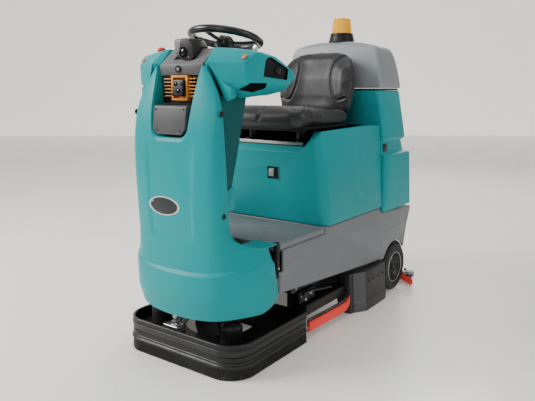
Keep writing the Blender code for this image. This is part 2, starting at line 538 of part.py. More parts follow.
# ------------------------------------------------------------------ sensors
turret = extrude_x("scanner_turret", [(-0.7360, 1.2260), (-0.7360, 1.2840), (-0.6550, 1.2840), (-0.6550, 1.1960), (-0.6990, 1.1960)], -0.054, 0.020, GREY_LIGHT)
head = cyl("scanner_head", 0.036, (0.0225, -0.742, 1.236), (0.0525, -0.690, 1.262), BLACK, 8)
bpy.data.objects.remove(head, do_unlink=True)
head = box("scanner_head", 0.0205, 0.0535, -0.738, -0.660, 1.1990, 1.2800, BLACK, bevel=0.008)
liner = from_bm("sensor_bay", bm_box(-0.096, 0.096, -0.7550, -0.7480, 0.925, 1.145), BLACK)
add(liner, box("bay_floor", -0.092, 0.092, -0.795, -0.754, 1.0400, 1.0440, BLACK))
grille = box("sensor_grille", -0.030, 0.030, -0.7760, -0.7555, 1.0520, 1.1450, ORANGE)
for k in range(5):
    z = 1.063 + 0.0165 * k
    add(grille, box(f"fin_{k}", -0.080, 0.080, -0.7720, -0.7555, z, z + 0.005, ORANGE))
cut(grille, box("camera_seat", -0.021, 0.021, -0.80, -0.762, 1.0640, 1.1340, None, cutter=True))
box("sensor_camera", -0.0205, 0.0205, -0.7960, -0.7625, 1.0645, 1.1335, BLACK, bevel=0.004)
cov = extrude_x("sensor_cover", [(-0.8200, 1.0380), (-0.8280, 1.0300), (-0.8400, 0.9350), (-0.8360, 0.9270), (-0.7560, 0.9270), (-0.7560, 1.0380)],
                -0.084, 0.084, GREY_DARK)
cut(cov, extrude_x("cover_low_corners", [(-0.9, 0.90), (-0.7, 0.90), (-0.7, 0.955), (-0.9, 0.955)], -0.2, -0.0710, None, cutter=True))
cut(cov, extrude_x("cover_low_corners2", [(-0.9, 0.90), (-0.7, 0.90), (-0.7, 0.955), (-0.9, 0.955)], 0.0710, 0.2, None, cutter=True))
for s, tag in ((1, "left"), (-1, "right")):
    small = [(y * 0.97 - 0.0177, z * 0.97 + 0.0345) for y, z in WIN]
    extrude_x(f"camera_{tag}", small, min(s * 0.3005, s * 0.330), max(s * 0.3005, s * 0.330), BLACK)

# ------------------------------------------------------------------ steering column and wheel
n = Vector((0.0, math.sin(STEER_TILT), math.cos(STEER_TILT)))
low, high = STEER_C - n * 0.175, STEER_C - n * 0.062
column = cyl("steering_column", 0.0310, low, high, BLACK, 24)
cut(column, cyl("column_hole", 0.0110, STEER_C - n * 0.20, STEER_C - n * 0.03, None, 16, cutter=True))
bm = bmesh.new()
rot = Matrix.Rotation(-STEER_TILT, 4, "X")
NT, NS = 36, 8
ring = []
for i in range(NT):
    a = 2 * math.pi * i / NT
    row = []
    for k in range(NS):
        b = 2 * math.pi * k / NS
        r = STEER_R + 0.0135 * math.cos(b)
        row.append(bm.verts.new(rot @ Vector((r * math.cos(a), r * math.sin(a), 0.0135 * math.sin(b)))))
    ring.append(row)
for i in range(NT):
    for k in range(NS):
        bm.faces.new((ring[i][k], ring[(i + 1) % NT][k], ring[(i + 1) % NT][(k + 1) % NS], ring[i][(k + 1) % NS]))
bmesh.ops.recalc_face_normals(bm, faces=bm.faces)
wheel = put("steering_wheel", bpy.data.meshes.new("steering_wheel"), BLACK)
bm.to_mesh(wheel.data)
bm.free()
wheel.location = STEER_C
hub = turned("wheel_hub", [(0.0, 0.008), (0.020, 0.006), (0.034, -0.004), (0.036, -0.030), (0.0105, -0.056), (0.0105, -0.170), (0.0, -0.170)],
             STEER_C, "TILT", BLACK, 20)
add(wheel, hub)
for k, ang in enumerate((30, 150, 270)):
    a = math.radians(ang)
    d = rot @ Vector((math.cos(a), math.sin(a), 0.0))
    up = rot @ Vector((0, 0, 1))
    p0 = STEER_C + d * 0.020 - up * 0.018
    p1 = STEER_C + d * (STEER_R - 0.002) - up * 0.001
    add(wheel, cyl(f"spoke_{k}", 0.0085, p0, p1, BLACK, 8))
turned("estop_button", [(0.0, 0.030), (0.010, 0.029), (0.0165, 0.025), (0.0175, 0.018), (0.0165, 0.0125), (0.0115, 0.0120), (0.0115, -0.020), (0.0, -0.020)],
       (-0.225, -0.640, 1.2350), "Z", RED, 20)
key = turned("ignition_key", [(0.0, 0.006), (0.010, 0.006), (0.010, 0.0), (0.0068, -0.0002), (0.0068, -0.030), (0.0, -0.030)],
             (0.200, -0.560, 1.2335), "Z", BLACK, 16)
add(key, box("key_bow", 0.190, 0.210, -0.5625, -0.5575, 1.238, 1.262, STEEL))

# ------------------------------------------------------------------ steered drive unit
fork = box("drive_fork", -0.068, 0.068, WHEEL_Y - 0.050, WHEEL_Y + 0.050, 0.2700, 0.2880, FRAME)
for s in (-1, 1):
    add(fork, box(f"fork_cheek_{s}", min(s * 0.052, s * 0.068), max(s * 0.052, s * 0.068), WHEEL_Y - 0.040, WHEEL_Y + 0.040, 0.095, 0.280, FRAME))
add(fork, cyl("steer_shaft", 0.0250, (0, WHEEL_Y, 0.280), (0, WHEEL_Y, 0.390), STEEL, 24))
add(fork, cyl("steer_sprocket", 0.060, (0, WHEEL_Y, 0.3720), (0, WHEEL_Y, 0.384), STEEL, 24))
add(fork, cyl("drive_motor", 0.045, (0, WHEEL_Y, 0.3830), (0, WHEEL_Y, 0.445), FRAME, 20))
add(fork, cyl("drive_axle", 0.0120, (-0.060, WHEEL_Y, WHEEL_R), (0.060, WHEEL_Y, WHEEL_R), STEEL, 16))


def tyre(name, cx, cy, cz, r, half, bore, mat):
    e = half * 0.28
    return turned(name, [(r - 0.012, half), (r - 0.003, half - e * 0.5), (r, half - e), (r, -half + e), (r - 0.003, -half + e * 0.5), (r - 0.012, -half),
                         (bore, -half), (bore, half)], (cx, cy, cz), "X", mat, 40)


def wheel_hub(name, cx, cy, cz, r, half, bore, mat):
    return turned(name, [(r * 0.95, half), (r, half - 0.002), (r, -half + 0.002), (r * 0.95, -half), (bore + 0.014, -half), (bore + 0.012, -half * 0.99),
                         (bore, -half * 0.99), (bore, half * 0.99), (bore + 0.012, half * 0.99), (bore + 0.014, half)], (cx, cy, cz), "X", mat, 28)


tyre("front_tyre", 0, WHEEL_Y, WHEEL_R, WHEEL_R, WHEEL_W / 2, 0.0805, RUBBER)
wheel_hub("front_hub", 0, WHEEL_Y, WHEEL_R, 0.080, WHEEL_W / 2 - 0.002, 0.0125, GREY_DARK)
for s, tag in ((1, "left"), (-1, "right")):
    cx = s * (REAR_IN + REAR_OUT) / 2
    hw = (REAR_OUT - REAR_IN) / 2
    tyre(f"rear_tyre_{tag}", cx, REAR_Y, REAR_R, REAR_R, hw, 0.0905, RUBBER)
    wheel_hub(f"rear_hub_{tag}", cx, REAR_Y, REAR_R, 0.090, hw - 0.006, 0.0130, GREY_DARK)

# ------------------------------------------------------------------ scrub deck
plan = rounded_rect(-DECK_HX + 0.006, DECK_HX - 0.006, DECK_Y0 + 0.006, DECK_Y1 - 0.006, (0.108, 0.012, 0.012, 0.108), 7)
deck = sweep_ring("deck_housing", plan, [(0.0, DECK_RIM), (0.0, 0.098), (-0.003, 0.094), (0.0, 0.090), (0.0, 0.061), (0.005, 0.057), (0.006, 0.052),
                                         (-0.010, 0.052), (-0.010, DECK_RIM)], BLACK)
inner_plan = rounded_rect(-DECK_HX + 0.012, DECK_HX - 0.012, DECK_Y0 + 0.012, DECK_Y1 - 0.012, (0.102, 0.006, 0.006, 0.102), 7)
floor = extrude_z("deck_floor", inner_plan, 0.084, 0.092, BLACK)
cut(floor, cyl("wheel_opening", 0.150, (0, WHEEL_Y, 0.05), (0, WHEEL_Y, 0.12), None, 40, cutter=True))
for s in (-1, 1):
    cut(floor, cyl(f"brush_opening_{s}", 0.0165, (s * BRUSH_X, BRUSH_Y, 0.05), (s * BRUSH_X, BRUSH_Y, 0.12), None, 16, cutter=True))
add(deck, floor)
sweep_ring("deck_bristles", plan, [(0.001, 0.0515), (0.003, 0.001), (-0.007, 0.001), (-0.007, 0.0515)], BRISTLE)
for s, tag in ((1, "left"), (-1, "right")):
    turned(f"brush_{tag}", [(0.0, 0.0820), (0.0120, 0.0820), (0.0120, 0.0720), (BRUSH_R - 0.010, 0.0700), (BRUSH_R - 0.006, 0.0480), (BRUSH_R, 0.0010),
                            (0.060, 0.0010), (0.050, 0.0400), (0.0, 0.0420)], (s * BRUSH_X, BRUSH_Y, 0.0), "Z", BRISTLE, 32)
    turned(f"brush_motor_{tag}", [(0.0, 0.1900), (0.030, 0.1900), (0.044, 0.1800), (0.046, 0.1000), (0.056, 0.0960), (0.056, 0.0925), (0.0, 0.0925)],
           (s * BRUSH_X, BRUSH_Y, 0.0), "Z", BLACK, 24)
blk = box("deck_hanger", -0.118, -0.033, -0.790, -0.742, 0.0925, 0.1350, STEEL, bevel=0.004)
add(blk, cyl("hanger_bolt", 0.0130, (-0.067, -0.762, 0.12), (-0.067, -0.762, 0.1900), STEEL, 16))
arm = tube("deck_lift_arm", [(-0.075, -0.7600, 0.112), (-0.090, -0.7250, 0.112), (-0.150, -0.640, 0.118), (-0.173, -0.540, 0.140), (-0.176, -0.420, 0.190)],
           0.0110, FRAME, res=2, as_mesh=True)
add(blk, arm)

# side skirts and blades ahead of the rear wheels
for s, tag in ((1, "left"), (-1, "right")):
    plan2 = [(s * 0.240, 0.060), (s * 0.312, 0.060), (s * 0.318, 0.085), (s * 0.358, 0.150), (s * 0.356, 0.375), (s * 0.345, 0.388), (s * 0.240, 0.388)]
    if s < 0:
        plan2.reverse()
    skirt = loft_rings([[(x, y, 0.002) for x, y in plan2], [(x, y, 0.055) for x, y in plan2],
                        [(x * 0.985, y, 0.060) for x, y in plan2], [(x * 0.965, y, 0.203) for x, y in plan2]], BLACK, f"rear_skirt_{tag}")
    cut(skirt, box(f"skirt_hollow_{tag}", min(s * 0.2, s * 0.330), max(s * 0.2, s * 0.330), 0.160, 0.376, -0.1, 0.190, None, cutter=True))
    pts = [(s * 0.296, -0.300, 0.052), (s * 0.303, -0.150, 0.052), (s * 0.308, 0.000, 0.054), (s * 0.309, 0.035, 0.062), (s * 0.309, 0.052, 0.078)]
    bm = bmesh.new()
    rings = []
    for (x, y, z) in pts:
        rings.append([bm.verts.new((x + a, y, z + b)) for a, b in ((-0.004, -0.022), (0.004, -0.022), (0.004, 0.022), (-0.004, 0.022))])
    for a, b in zip(rings, rings[1:]):
        for i in range(4):
            j = (i + 1) % 4
            bm.faces.new((a[i], b[i], b[j], a[j]))
    bm.faces.new(rings[0])
    bm.faces.new(list(reversed(rings[-1])))
    bmesh.ops.recalc_face_normals(bm, faces=bm.faces)
    from_bm(f"side_blade_{tag}", bm, RED)

# ------------------------------------------------------------------ rear squeegee


def bow(x):
    """Plan line of the squeegee: ends forward, middle rearmost."""
    return 0.846 - 0.175 * (abs(x) / 0.38) ** 2


xs = [-0.380 + 0.760 * i / 20 for i in range(21)]


def bow_strip(name, front, back, z0, z1, mat, xs=xs):
    bm = bmesh.new()
    rings = []
    for x in xs:
        y = bow(x)
        rings.append([bm.verts.new((x, y + a, z)) for a, z in ((front, z0), (back, z0), (back, z1), (front, z1))])
    for a, b in zip(rings, rings[1:]):
        for i in range(4):
            j = (i + 1) % 4
            bm.faces.new((a[i], b[i], b[j], a[j]))
    bm.faces.new(rings[0])
    bm.faces.new(list(reversed(rings[-1])))
    bmesh.ops.recalc_face_normals(bm, faces=bm.faces)
    return from_bm(name, bm, mat)


sq = bow_strip("squeegee_frame", -0.040, 0.014, 0.0560, 0.0680, STEEL)
add(sq, bow_strip("squeegee_lip", -0.012, 0.004, 0.030, 0.058, STEEL))
add(sq, box("lift_arm_plate", -0.060, 0.060, 0.640, 0.822, 0.0620, 0.0740, STEEL))
add(sq, box("lift_arm_post", -0.050, 0.050, 0.640, 0.656, 0.0700, 0.250, STEEL))
add(sq, cyl("suction_port", 0.0240, (0, 0.790, 0.060), (0, 0.790, 0.115), BLACK, 16))
blade = bow_strip("squeegee_blade", 0.0045, 0.0095, 0.0010, 0.0550, RED)
bow_strip("squeegee_blade_front", -0.0175, -0.0125, 0.0010, 0.0550, RED)
for s, tag in ((1, "left"), (-1, "right")):
    cyl(f"squeegee_roller_{tag}", 0.0250, (s * 0.372, 0.648, 0.0690), (s * 0.372, 0.648, 0.0880), GREY, 24, bevel=0.003,
        origin=(s * 0.372, 0.648, 0.0785))
hose = tube("suction_hose", [(0, 0.790, 0.1155), (0, 0.790, 0.160), (0, 0.791, 0.220), (0, 0.792, 0.280), (0, 0.792, 0.340), (0, 0.791, 0.400), (0, 0.790, 0.4550)],
            0.0210, RUBBER, res=2)

# ------------------------------------------------------------------ seat
deckp = box("seat_deck", -0.2180, 0.2080, -0.1990, 0.3150, 0.8240, 0.8460, BLACK)
add(deckp, box("deck_front_bar", -0.188, 0.188, -0.1990, -0.1790, 0.8440, 0.8600, STEEL))
for y in (-0.130, 0.200):
    add(deckp, box(f"strap_up_{y}", -0.2180, -0.2130, y - 0.015, y + 0.015, 0.830, 0.9300, STEEL))
    add(deckp, box(f"strap_out_{y}", -0.3100, -0.2150, y - 0.015, y + 0.015, 0.9240, 0.9300, STEEL))
for s in (-1, 1):
    add(deckp, box(f"rail_{s}", s * 0.145 - 0.012, s * 0.145 + 0.012, -0.170, 0.150, 0.8440, 0.8680, STEEL))
pan = box("seat_pan", -0.205, 0.205, -0.200, 0.185, 0.9080, 0.9320, BLACK)
for s in (-1, 1):
    add(pan, box(f"runner_{s}", s * 0.145 - 0.014, s * 0.145 + 0.014, -0.120, 0.150, 0.8690, 0.9100, BLACK))


def seat_ring(y, z0, z1, hx, r):
    pts = rounded_rect(-hx, hx, z0, z1, (r, r, r, r), 3)
    return [(x, y, z) for x, z in pts]


cush = loft_rings([seat_ring(0.1980, 0.9350, 0.9780, 0.200, 0.020), seat_ring(0.150, 0.9330, 1.0000, 0.226, 0.028),
                   seat_ring(0.0, 0.9330, 1.0000, 0.238, 0.032), seat_ring(-0.150, 0.9330, 1.0020, 0.238, 0.034),
                   seat_ring(-0.235, 0.9340, 1.0000, 0.218, 0.032), seat_ring(-0.275, 0.9400, 0.9860, 0.172, 0.020)],
                  VINYL, "seat_cushion", smooth=50)


def back_ring(z, y0, y1, hx, r):
    """One level of the back: narrower behind than in front."""
    return [(x * (1.0 - 0.22 * (y - y0) / (y1 - y0)), y, z) for x, y in rounded_rect(-hx, hx, y0, y1, (r, r, r, r), 3)]


back = loft_rings([back_ring(0.9400, 0.2050, 0.238, 0.170, 0.012), back_ring(0.9750, 0.2000, 0.262, 0.204, 0.020),
                   back_ring(1.0040, 0.1830, 0.276, 0.222, 0.030), back_ring(1.060, 0.180, 0.292, 0.230, 0.036),
                   back_ring(1.150, 0.192, 0.308, 0.230, 0.036), back_ring(1.210, 0.215, 0.322, 0.218, 0.034),
                   back_ring(1.255, 0.242, 0.332, 0.180, 0.030), back_ring(1.2830, 0.264, 0.322, 0.110, 0.020)],
                  VINYL, "seat_back", smooth=50)
add(pan, box("back_bracket", -0.120, 0.120, 0.1790, 0.2360, 0.9080, 0.9320, BLACK))

# ------------------------------------------------------------------ pedals and latches
PEDAL = [(-0.440, 0.4990), (-0.440, 0.5050), (-0.553, 0.5430), (-0.557, 0.5370), (-0.548, 0.5290)]
ped = extrude_x("accelerator_pedal", PEDAL, -0.205, -0.137, RUBBER, origin=(-0.171, -0.440, 0.500))
add(ped, cyl("accelerator_pivot", 0.0060, (-0.208, -0.440, 0.5000), (-0.134, -0.440, 0.5000), STEEL, 12))
brk = extrude_x("brake_pedal", [(y * 0.9 - 0.044, (z - 0.5) * 1.15 + 0.5) for y, z in PEDAL], -0.124, -0.070, RUBBER, origin=(-0.097, -0.440, 0.500))
add(brk, cyl("brake_pivot", 0.0060, (-0.129, -0.440, 0.5000), (-0.066, -0.440, 0.5000), STEEL, 12))
latch = box("platform_latch", 0.3010, 0.3190, -0.5780, -0.5600, 0.3850, 0.4980, RUBBER, bevel=0.003, origin=(0.310, -0.569, 0.395))
tl = box("seat_latch", 0.0180, 0.0420, -0.2190, -0.2065, 0.6980, 0.7370, GREY, bevel=0.002, origin=(0.030, -0.2065, 0.7370))
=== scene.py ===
"""Looks of the ride-on floor scrubber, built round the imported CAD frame. Metres, +Z up, front faces -Y."""
import json
import math
import random

import bmesh
import bpy
import numpy as np
from mathutils import Matrix, Vector
from mathutils.bvhtree import BVHTree
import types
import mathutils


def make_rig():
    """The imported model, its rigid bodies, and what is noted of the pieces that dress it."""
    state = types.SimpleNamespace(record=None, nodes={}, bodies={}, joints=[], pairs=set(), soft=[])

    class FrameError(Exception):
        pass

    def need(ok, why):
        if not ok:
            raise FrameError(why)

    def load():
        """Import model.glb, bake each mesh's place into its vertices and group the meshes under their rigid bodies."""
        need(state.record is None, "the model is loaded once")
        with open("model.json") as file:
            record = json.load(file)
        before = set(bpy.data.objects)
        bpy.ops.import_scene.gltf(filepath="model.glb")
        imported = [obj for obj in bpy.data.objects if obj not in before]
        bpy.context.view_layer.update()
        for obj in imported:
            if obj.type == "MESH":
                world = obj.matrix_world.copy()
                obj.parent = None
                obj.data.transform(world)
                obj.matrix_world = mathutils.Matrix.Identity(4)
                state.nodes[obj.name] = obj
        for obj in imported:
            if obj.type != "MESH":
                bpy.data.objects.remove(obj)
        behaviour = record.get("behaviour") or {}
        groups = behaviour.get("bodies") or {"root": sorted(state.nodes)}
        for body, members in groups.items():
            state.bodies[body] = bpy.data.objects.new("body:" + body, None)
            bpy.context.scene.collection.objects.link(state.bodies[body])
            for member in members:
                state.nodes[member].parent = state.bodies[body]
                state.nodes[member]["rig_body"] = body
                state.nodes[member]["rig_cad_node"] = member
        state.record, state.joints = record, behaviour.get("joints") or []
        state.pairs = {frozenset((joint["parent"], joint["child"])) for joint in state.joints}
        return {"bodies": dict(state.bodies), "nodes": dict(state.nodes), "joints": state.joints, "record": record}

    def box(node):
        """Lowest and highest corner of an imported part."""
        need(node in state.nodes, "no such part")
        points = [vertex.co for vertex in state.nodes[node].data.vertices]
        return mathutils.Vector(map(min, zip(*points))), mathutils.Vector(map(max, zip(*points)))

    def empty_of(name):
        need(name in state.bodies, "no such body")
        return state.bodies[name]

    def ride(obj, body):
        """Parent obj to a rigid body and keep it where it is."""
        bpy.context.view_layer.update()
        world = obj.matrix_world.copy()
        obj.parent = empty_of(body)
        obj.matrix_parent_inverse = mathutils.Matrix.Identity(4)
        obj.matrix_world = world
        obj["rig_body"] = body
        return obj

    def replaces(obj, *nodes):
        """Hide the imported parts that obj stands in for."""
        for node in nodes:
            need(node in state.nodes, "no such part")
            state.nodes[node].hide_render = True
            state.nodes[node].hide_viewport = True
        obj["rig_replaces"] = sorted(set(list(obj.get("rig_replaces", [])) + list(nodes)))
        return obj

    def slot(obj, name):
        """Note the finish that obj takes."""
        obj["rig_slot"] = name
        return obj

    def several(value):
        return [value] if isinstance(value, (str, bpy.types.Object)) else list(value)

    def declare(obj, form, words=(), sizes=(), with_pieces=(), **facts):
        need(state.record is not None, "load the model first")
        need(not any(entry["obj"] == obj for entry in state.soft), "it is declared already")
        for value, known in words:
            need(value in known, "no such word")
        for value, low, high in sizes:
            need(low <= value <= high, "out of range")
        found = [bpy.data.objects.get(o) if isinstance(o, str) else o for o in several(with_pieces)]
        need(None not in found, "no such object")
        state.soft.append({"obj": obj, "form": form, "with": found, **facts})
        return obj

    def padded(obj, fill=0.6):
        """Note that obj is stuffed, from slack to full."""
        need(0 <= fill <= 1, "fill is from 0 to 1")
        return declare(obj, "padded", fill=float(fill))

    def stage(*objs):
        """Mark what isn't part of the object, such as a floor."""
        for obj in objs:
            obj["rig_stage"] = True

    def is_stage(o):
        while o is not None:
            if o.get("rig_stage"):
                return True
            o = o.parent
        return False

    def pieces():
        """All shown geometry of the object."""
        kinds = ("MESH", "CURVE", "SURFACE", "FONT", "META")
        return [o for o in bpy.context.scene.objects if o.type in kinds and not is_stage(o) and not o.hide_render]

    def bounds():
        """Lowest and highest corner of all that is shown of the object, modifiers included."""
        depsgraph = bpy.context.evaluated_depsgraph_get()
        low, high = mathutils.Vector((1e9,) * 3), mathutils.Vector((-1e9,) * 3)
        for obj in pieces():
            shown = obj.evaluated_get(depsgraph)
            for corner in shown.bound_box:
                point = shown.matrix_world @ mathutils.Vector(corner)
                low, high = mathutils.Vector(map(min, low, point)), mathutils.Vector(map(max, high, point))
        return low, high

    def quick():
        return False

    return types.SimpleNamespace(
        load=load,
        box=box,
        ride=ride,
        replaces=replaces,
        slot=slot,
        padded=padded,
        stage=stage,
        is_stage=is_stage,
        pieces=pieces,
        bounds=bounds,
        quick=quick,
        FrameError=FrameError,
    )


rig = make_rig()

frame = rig.load()
CAD_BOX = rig.bounds()
NODES = frame["nodes"]
SCENE = bpy.context.scene
COL = SCENE.collection
random.seed(7)
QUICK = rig.quick()

# ------------------------------------------------------------------ camera, floor, light
cam_data = bpy.data.cameras.new("camera")
cam_data.sensor_width = 36.0
cam_data.lens = 40.04
cam_data.clip_start, cam_data.clip_end = 0.05, 200.0
cam = bpy.data.objects.new("camera", cam_data)
cam.location = (1.6196, -2.4336, 1.10)
cam.rotation_euler = (math.radians(79.3), 0.0, math.radians(36.0))
COL.objects.link(cam)
SCENE.camera = cam


def area(name, loc, target, size, power, colour=(1, 1, 1), size_y=None):
    d = bpy.data.lights.new(name, "AREA")
    d.shape = "RECTANGLE"
    d.size = size
    d.size_y = size_y or size
    d.energy = power
    d.color = colour
    o = bpy.data.objects.new(name, d)
    o.location = loc
    o.rotation_mode = "QUATERNION"
    o.rotation_quaternion = (Vector(target) - Vector(loc)).to_track_quat("-Z", "Y")
    o.visible_camera = False
    COL.objects.link(o)
    return o


area("key", (-3.2, -3.2, 3.4), (0, -0.2, 0.6), 2.2, 300, (1.0, 0.985, 0.96))
area("front_fill", (1.2, -4.6, 2.6), (0, 0, 0.7), 2.6, 60, (0.97, 0.985, 1.0))
area("side_fill", (4.6, 0.6, 2.6), (0, 0, 0.6), 2.6, 62, (0.97, 0.985, 1.0))
area("back_rim", (-1.2, 4.4, 3.4), (0, 0.2, 0.9), 2.4, 90)
area("top", (0.2, 0.2, 5.0), (0, 0, 0), 3.2, 80)

world = bpy.data.worlds.new("studio")
SCENE.world = world
world.use_nodes = True
world.node_tree.nodes["Background"].inputs[0].default_value = (0.93, 0.925, 0.91, 1)
world.node_tree.nodes["Background"].inputs[1].default_value = 0.24


# ------------------------------------------------------------------ material helpers
class Nodes:
    """Short hand for building one material's node tree."""

    def __init__(self, name):
        self.m = bpy.data.materials.new(name)
        self.m.use_nodes = True
        self.t = self.m.node_tree
        self.b = self.t.nodes["Principled BSDF"]
        self.co = self.t.nodes.new("ShaderNodeTexCoord").outputs["Object"]

    def new(self, kind):
        return self.t.nodes.new(kind)

    def link(self, a, b):
        self.t.links.new(a, b)

    def scaled(self, v):
        n = self.new("ShaderNodeMapping")
        n.inputs["Scale"].default_value = v
        self.link(self.co, n.inputs["Vector"])
        return n.outputs["Vector"]

    def noise(self, scale, detail=2.0, rough=0.5, vec=None):
        n = self.new("ShaderNodeTexNoise")
        n.inputs["Scale"].default_value = scale
        n.inputs["Detail"].default_value = detail
        n.inputs["Roughness"].default_value = rough
        self.link(vec or self.co, n.inputs["Vector"])
        return n.outputs["Fac"]

    def voronoi(self, scale, vec=None, feature="F1"):
        n = self.new("ShaderNodeTexVoronoi")
        n.feature = feature
        n.inputs["Scale"].default_value = scale
        self.link(vec or self.co, n.inputs["Vector"])
        return n.outputs["Distance"]

    def ramp(self, fac, a, b):
        """fac between a and b becomes 0 to 1."""
        n = self.new("ShaderNodeMapRange")
        n.inputs["From Min"].default_value = a
        n.inputs["From Max"].default_value = b
        n.interpolation_type = "SMOOTHSTEP"
        self.link(fac, n.inputs["Value"])
        return n.outputs["Result"]

    def span(self, fac, lo, hi, a=0.3, b=0.7):
        n = self.new("ShaderNodeMapRange")
        n.inputs["From Min"].default_value = a
        n.inputs["From Max"].default_value = b
        n.inputs["To Min"].default_value = lo
        n.inputs["To Max"].default_value = hi
        self.link(fac, n.inputs["Value"])
        return n.outputs["Result"]

    def mix(self, fac, c1, c2):
        n = self.new("ShaderNodeMix")
        n.data_type = "RGBA"
        if isinstance(fac, float):
            n.inputs[0].default_value = fac
        else:
            self.link(fac, n.inputs[0])
        for k, c in ((6, c1), (7, c2)):
            if isinstance(c, tuple):
                n.inputs[k].default_value = (*c, 1.0)
            else:
                self.link(c, n.inputs[k])
        return n.outputs[2]

    def math(self, op, a, b=None):
        n = self.new("ShaderNodeMath")
        n.operation = op
        for k, v in enumerate((a, b)):
            if v is None:
                continue
            if isinstance(v, (int, float)):
                n.inputs[k].default_value = v
            else:
                self.link(v, n.inputs[k])
        return n.outputs[0]

    def edge(self, lo=0.52, hi=0.60):
        g = self.new("ShaderNodeNewGeometry")
        return self.ramp(g.outputs["Pointiness"], lo, hi)

    def bump(self, height, strength, dist):
        n = self.new("ShaderNodeBump")
        n.inputs["Strength"].default_value = strength
        n.inputs["Distance"].default_value = dist
        self.link(height, n.inputs["Height"])
        self.link(n.outputs["Normal"], self.b.inputs["Normal"])

    def colour(self, c):
        self.link(c, self.b.inputs["Base Color"])

    def set(self, **kw):
        for k, v in kw.items():
            self.b.inputs[k.replace("_", " ")].default_value = v


def shade(c, k):
    return tuple(min(1.0, x * k) for x in c)


def srgb(r, g, b):
    return tuple(((v / 255) / 12.92 if v <= 10 else (((v / 255) + 0.055) / 1.055) ** 2.4) for v in (r, g, b))


def plastic(name, rgb, rough=0.38, peel=0.12, scale=420.0, var=0.05, edge=0.25, scuff=0.25, coat=0.0, spec=0.5):
    """Moulded plastic: fine texture in the surface, slow colour drift, convex edges painted lighter as a painted
    highlight, faint scuffs.
    """
    n = Nodes(name)
    drift = n.noise(2.6, 3.0)
    base = n.mix(n.ramp(drift, 0.3, 0.7), shade(rgb, 1 - var), shade(rgb, 1 + var))
    speck = n.ramp(n.noise(scale * 1.7, 1.0), 0.55, 0.75)
    base = n.mix(n.math("MULTIPLY", speck, 0.10), base, shade(rgb, 1.5))
    # convex edges painted lighter by pointiness: a painted highlight
    painted_edge_highlight = n.math("MULTIPLY", n.edge(), edge)
    base = n.mix(painted_edge_highlight, base, tuple(min(1.0, x * 1.35 + 0.04) for x in rgb))
    streak = n.ramp(n.noise(5.0, 6.0, 0.65, n.scaled((1.0, 9.0, 22.0))), 0.62, 0.78)
    base = n.mix(n.math("MULTIPLY", streak, scuff * 0.35), base, tuple(min(1.0, x * 1.15 + 0.05) for x in rgb))
    n.colour(base)
    r = n.span(n.noise(14.0, 5.0, 0.6), rough - 0.05, rough + 0.07)
    r = n.math("ADD", r, n.math("MULTIPLY", streak, 0.10 * scuff))
    n.link(r, n.b.inputs["Roughness"])
    n.bump(n.noise(scale, 3.0, 0.6), peel, 0.0006)
    n.set(Specular_IOR_Level=spec)
    if coat:
        n.set(Coat_Weight=coat, Coat_Roughness=0.12)
    return n.m


def rubber(name, rgb, rough=0.62, scale=260.0):
    n = Nodes(name)
    base = n.mix(n.ramp(n.noise(9.0, 4.0), 0.35, 0.7), shade(rgb, 0.8), tuple(x * 1.25 + 0.004 for x in rgb))
    dust = n.ramp(n.noise(38.0, 6.0, 0.7), 0.58, 0.8)
    base = n.mix(n.math("MULTIPLY", dust, 0.25), base, tuple(x + 0.03 for x in rgb))
    n.colour(base)
    n.link(n.span(n.noise(30.0, 4.0), rough - 0.08, rough + 0.1), n.b.inputs["Roughness"])
    n.bump(n.noise(scale, 4.0, 0.65), 0.22, 0.0006)
    n.set(Specular_IOR_Level=0.4)
    return n.m


def metal(name, rgb, rough=0.32, brushed=(3.0, 60.0, 60.0), metallic=1.0):
    n = Nodes(name)
    grain = n.noise(18.0, 5.0, 0.7, n.scaled(brushed))
    base = n.mix(n.ramp(grain, 0.3, 0.7), shade(rgb, 0.82), shade(rgb, 1.12))
    stain = n.ramp(n.noise(22.0, 6.0, 0.7), 0.56, 0.74)
    base = n.mix(n.math("MULTIPLY", stain, 0.35), base, shade(rgb, 0.55))
    n.colour(base)
    n.link(n.math("ADD", n.span(grain, rough - 0.06, rough + 0.08), n.math("MULTIPLY", stain, 0.12)), n.b.inputs["Roughness"])
    n.bump(grain, 0.10, 0.0004)
    n.set(Metallic=metallic)
    return n.m


def painted(name, rgb, rough=0.4):
    """Powder coat over steel: orange peel, chipped edges showing grey."""
    n = Nodes(name)
    base = n.mix(n.ramp(n.noise(6.0, 4.0), 0.35, 0.7), shade(rgb, 0.85), tuple(x * 1.2 + 0.003 for x in rgb))
    chip = n.math("MULTIPLY", n.edge(0.54, 0.62), n.ramp(n.noise(70.0, 4.0, 0.7), 0.45, 0.6))
    base = n.mix(n.math("MULTIPLY", chip, 0.7), base, (0.16, 0.16, 0.165))
    n.colour(base)
    n.link(n.span(n.noise(24.0, 4.0), rough - 0.06, rough + 0.1), n.b.inputs["Roughness"])
    n.bump(n.noise(350.0, 2.0), 0.16, 0.0005)
    return n.m


def vinyl(name, rgb):
    """Embossed seat vinyl: pebble grain with fine creases."""
    n = Nodes(name)
    cell = n.voronoi(520.0)
    fine = n.noise(900.0, 3.0, 0.6)
    slow = n.noise(5.0, 4.0)
    base = n.mix(n.ramp(slow, 0.3, 0.7), shade(rgb, 0.86), shade(rgb, 1.16))
    # the grain's hollows painted darker: painted shade
    base = n.mix(n.math("MULTIPLY", n.ramp(cell, 0.25, 0.55), 0.35), base, shade(rgb, 0.62))
    # convex edges painted lighter: a painted highlight
    base = n.mix(n.math("MULTIPLY", n.edge(0.52, 0.60), 0.3), base, shade(rgb, 1.7))
    n.colour(base)
    n.link(n.span(n.noise(12.0, 5.0), 0.40, 0.56), n.b.inputs["Roughness"])
    h = n.math("ADD", n.math("MULTIPLY", cell, -0.7), n.math("MULTIPLY", fine, 0.3))
    n.bump(h, 0.35, 0.0007)
    n.set(Sheen_Weight=0.08, Sheen_Roughness=0.4, Specular_IOR_Level=0.5)
    return n.m


